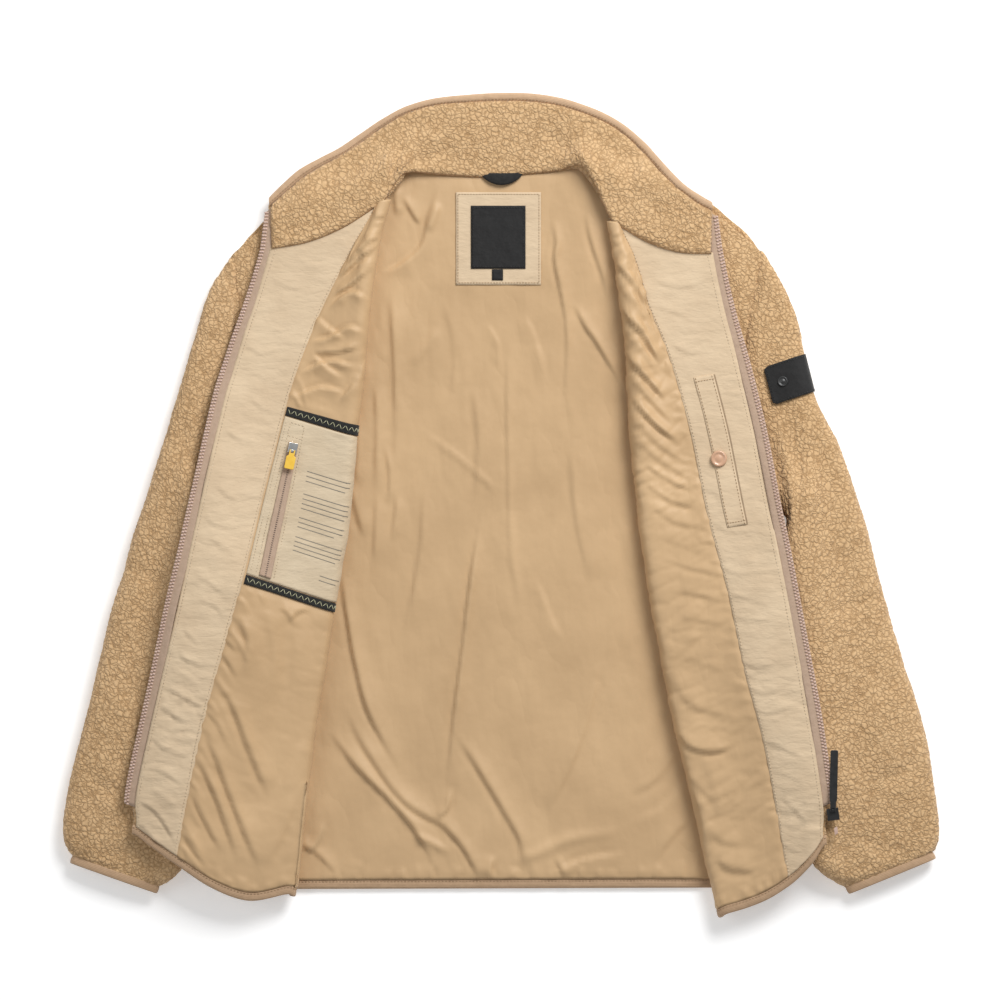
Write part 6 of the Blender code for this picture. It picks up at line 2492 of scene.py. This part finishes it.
@dataclass(frozen=True)
class SleeveBadge:
    """The bare badge over the right sleeve's outer edge, with its snap.

    Attributes:
        edge: Ends of its line along the sleeve's outer edge.
        inward: Direction from there over the sleeve.
        top_stops: Distances from the edge at which it is laid on the sleeve's top.
        side_heights: Heights at which it is laid on the sleeve's side.
        clear: How far it stands off the sleeve.
        corner: Radius of its corners.
        snap_radius: The snap's radius.
    """

    edge: tuple[tuple[float, float], ...] = ((340.5, 162.5 + CENTRE_SHIFT_Y), (349.0, 124.5 + CENTRE_SHIFT_Y))
    inward: tuple[float, float] = (-39.0, -13.0)
    top_stops: tuple[float, ...] = (42, 39, 36, 32, 28, 24, 20, 17, 14, 11, 8.5, 6.5, 5, 3.5, 2.2)
    side_heights: tuple[float, ...] = (14.5, 12.0, 8.5)
    clear: float = 2.5
    corner: float = 4.5
    snap_radius: float = 5.2

    def build(self, thread: Thread) -> None:
        """Builds the badge, laid over the sleeve by casting rays at it.

        Args:
            thread: Thread of its stitches.
        """
        bm = bmesh.new()
        bm.from_mesh(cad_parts["sleeve_right"].data)
        tree = BVHTree.FromBMesh(bm)
        bm.free()
        inward = unit(np.array(self.inward))

        def cast(x: float, y: float, z: float, way: tuple[float, float, float]) -> Grid:
            """Where a ray from a place meets the sleeve."""
            return np.array(tree.ray_cast(Vector((x, y, z)) * MM, Vector(way))[0]) / MM

        grid = []
        for share in np.linspace(0, 1, 21):
            outside = np.array(self.edge[0]) * (1 - share) + np.array(self.edge[1]) * share
            sides = [cast(*outside, height, (*inward, 0)) for height in self.side_heights]
            to_end = 40 * min(share, 1 - share)
            inset = self.corner - math.sqrt(max(self.corner**2 - max(self.corner - to_end, 0) ** 2, 0))
            tops = [sides[0][:2] + inward * min(reach, self.top_stops[0] - inset) for reach in self.top_stops]
            grid.append([cast(*place, 500.0, (0, 0, -1)) for place in tops] + sides)
        grid = np.array(grid)
        for _ in range(4):
            grid[:, 1:-1] = (grid[:, :-2] + 2 * grid[:, 1:-1] + grid[:, 2:]) / 4
        fine = resampled(grid, np.linspace(0, 20, 41), np.linspace(0, grid.shape[1] - 1, 52))
        laid = fine + normals(fine, 1) * self.clear
        sewn("sleeve_badge", laid, 1, FACING_WALL, SATIN, "black_cloth")
        out = normals(laid, 1) * 0.15
        for edge in ((2, slice(3, -2)), (-3, slice(3, -2)), (slice(3, -3), 2)):
            thread.run(laid[edge] + out[edge], np.cross(np.gradient(laid[edge], axis=0), (0, 0, 1.0)), 2.8)
        middle = laid[20, 13]
        facing = np.cross(laid[20, 15] - laid[20, 11], laid[18, 13] - laid[22, 13])
        snap("badge_snap", middle - unit(facing) * 0.6, facing, self.snap_radius, DARK_METAL, "nickel")


# --- Studio ---


@dataclass(frozen=True)
class Studio:
    """The white floor, the soft lights and the camera straight above.

    Attributes:
        height: How far the camera is above the surface.
        field: Width of the surface that it sees.
        aim: Place under the camera, in metres.
        lamps: Each lamp: name, place, size and power.
        sky: Strength of the light from all round.
    """

    height: float = 9.0
    field: float = 1.0
    aim: tuple[float, float] = (-0.0015, 0.0015)
    lamps: tuple[tuple[str, tuple[float, float, float], float, float], ...] = (
        ("key lamp", (1.45, 2.45, 2.6), 1.8, 139.0),
        ("fill lamp", (-3.2, 0.4, 3.6), 2.6, 27.0),
    )
    sky: float = 0.33

    def floor(self) -> None:
        """A wide white floor."""
        bm = bmesh.new()
        bmesh.ops.create_grid(bm, x_segments=1, y_segments=1, size=6.0)
        floor = linked("floor", bm)
        recipe = Recipe("white floor", Roughness=0.9, Specular_IOR_Level=0.1, Emission_Strength=0.3)
        recipe.shader.inputs["Emission Color"].default_value = (1.0, 1.0, 1.0, 1.0)
        speckle = recipe.noise(recipe.place(), 3.0, 2.0)
        white = recipe.ramp(speckle, (0.0, (0.93,) * 3), (1.0, (0.95,) * 3))
        floor.data.materials.append(recipe.done(white))

    def light(self, name: str, place: tuple[float, float, float], size: float, power: float) -> None:
        """A square lamp that faces the jacket.

        Args:
            name: Its name.
            place: Where it hangs, in metres.
            size: Its width in metres.
            power: Its power in watts.
        """
        lamp = bpy.data.lights.new(name, "AREA")
        lamp.shape = "SQUARE"
        lamp.size = size
        lamp.energy = power
        held = bpy.data.objects.new(name, lamp)
        held.matrix_world = Matrix.Translation(place) @ (-Vector(place)).to_track_quat("-Z", "Y").to_matrix().to_4x4()
        bpy.context.scene.collection.objects.link(held)

    def build(self) -> None:
        """Sets up the whole studio."""
        self.floor()
        for lamp in self.lamps:
            self.light(*lamp)
        world = bpy.data.worlds.new("studio light")
        world.use_nodes = True
        sky = world.node_tree.nodes["Background"].inputs
        sky["Color"].default_value = (1.0, 1.0, 1.0, 1.0)
        sky["Strength"].default_value = self.sky
        bpy.context.scene.world = world
        lens = bpy.data.cameras.new("camera")
        lens.sensor_width = 36.0
        lens.lens = lens.sensor_width * self.height / self.field
        lens.clip_end = 40.0
        camera = bpy.data.objects.new("camera", lens)
        camera.location = (*self.aim, self.height)
        bpy.context.scene.collection.objects.link(camera)
        bpy.context.scene.camera = camera
        bpy.context.scene.view_settings.view_transform = "Standard"


def main() -> None:
    """Builds the jacket's looks, piece by piece."""
    logging.basicConfig(level=logging.INFO, format="%(message)s")
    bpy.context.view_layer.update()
    pile = Pile()
    lattice = Lattice(31)
    back = Back()
    back.fleece(pile)
    back.lining()
    tan = Thread("tan_stitches", TAN_THREAD, "binding")
    pale = Thread("pale_stitches", PALE_THREAD, "facing")
    lime = Thread("zigzag_stitches", LIME_THREAD, "black_cloth", width=0.65)
    dark = Thread("dark_stitches", DARK_THREAD, "zip_teeth", 1.3, 2.2)
    black = Thread("black_stitches", BLACK, "black_cloth")
    back.hem(tan)
    for sleeve in (
        Sleeve(Side.LEFT, SLEEVE_LEFT, FRONT_LEFT[ARMPIT_SECTION:, 5:7], SLEEVE_FOLDS_LEFT),
        Sleeve(Side.RIGHT, SLEEVE_RIGHT, FRONT_RIGHT[ARMPIT_SECTION:, 5:7], SLEEVE_FOLDS_RIGHT, BADGE_PRESS),
    ):
        sleeve.fleece(pile)
        sleeve.cuff()
    fronts = {}
    for cut in FRONT_CUTS:
        front = Front(cut)
        front.fleece(pile)
        front.facing(lattice)
        front.lining(lattice)
        front.hem(tan)
        seam = front.at(front.down(6.0, 0.1), np.array([front.FACING - 0.13, front.FACING]), LINING_LEVEL + 0.35)
        pale.run(seam[:, 0], seam[:, 0] - seam[:, 1])
        fronts[cut.side] = front
    collar = Collar(fronts)
    collar.outer(pile)
    collar.inner(pile)
    collar.binding(tan)
    for front in fronts.values():
        MainZip().build(front, collar, pale)
    InnerPocket(fronts[Side.LEFT], lattice).build(pale, lime, dark)
    WeltPocket().build(fronts[Side.RIGHT], lattice, tan)
    NeckPieces().build(back, lattice, tan, black)
    SleeveBadge().build(black)
    refined("zip_retainer", CHAIN, "zip_teeth", 0.35)
    refined("main_slider", BLACK, "black_plastic", 0.35)
    refined("main_pull", BLACK, "black_plastic", 0.4, "main_pull")
    for thread in (tan, pale, lime, dark, black):
        thread.build()
    Studio().build()


if __name__ == "__main__":
    main()
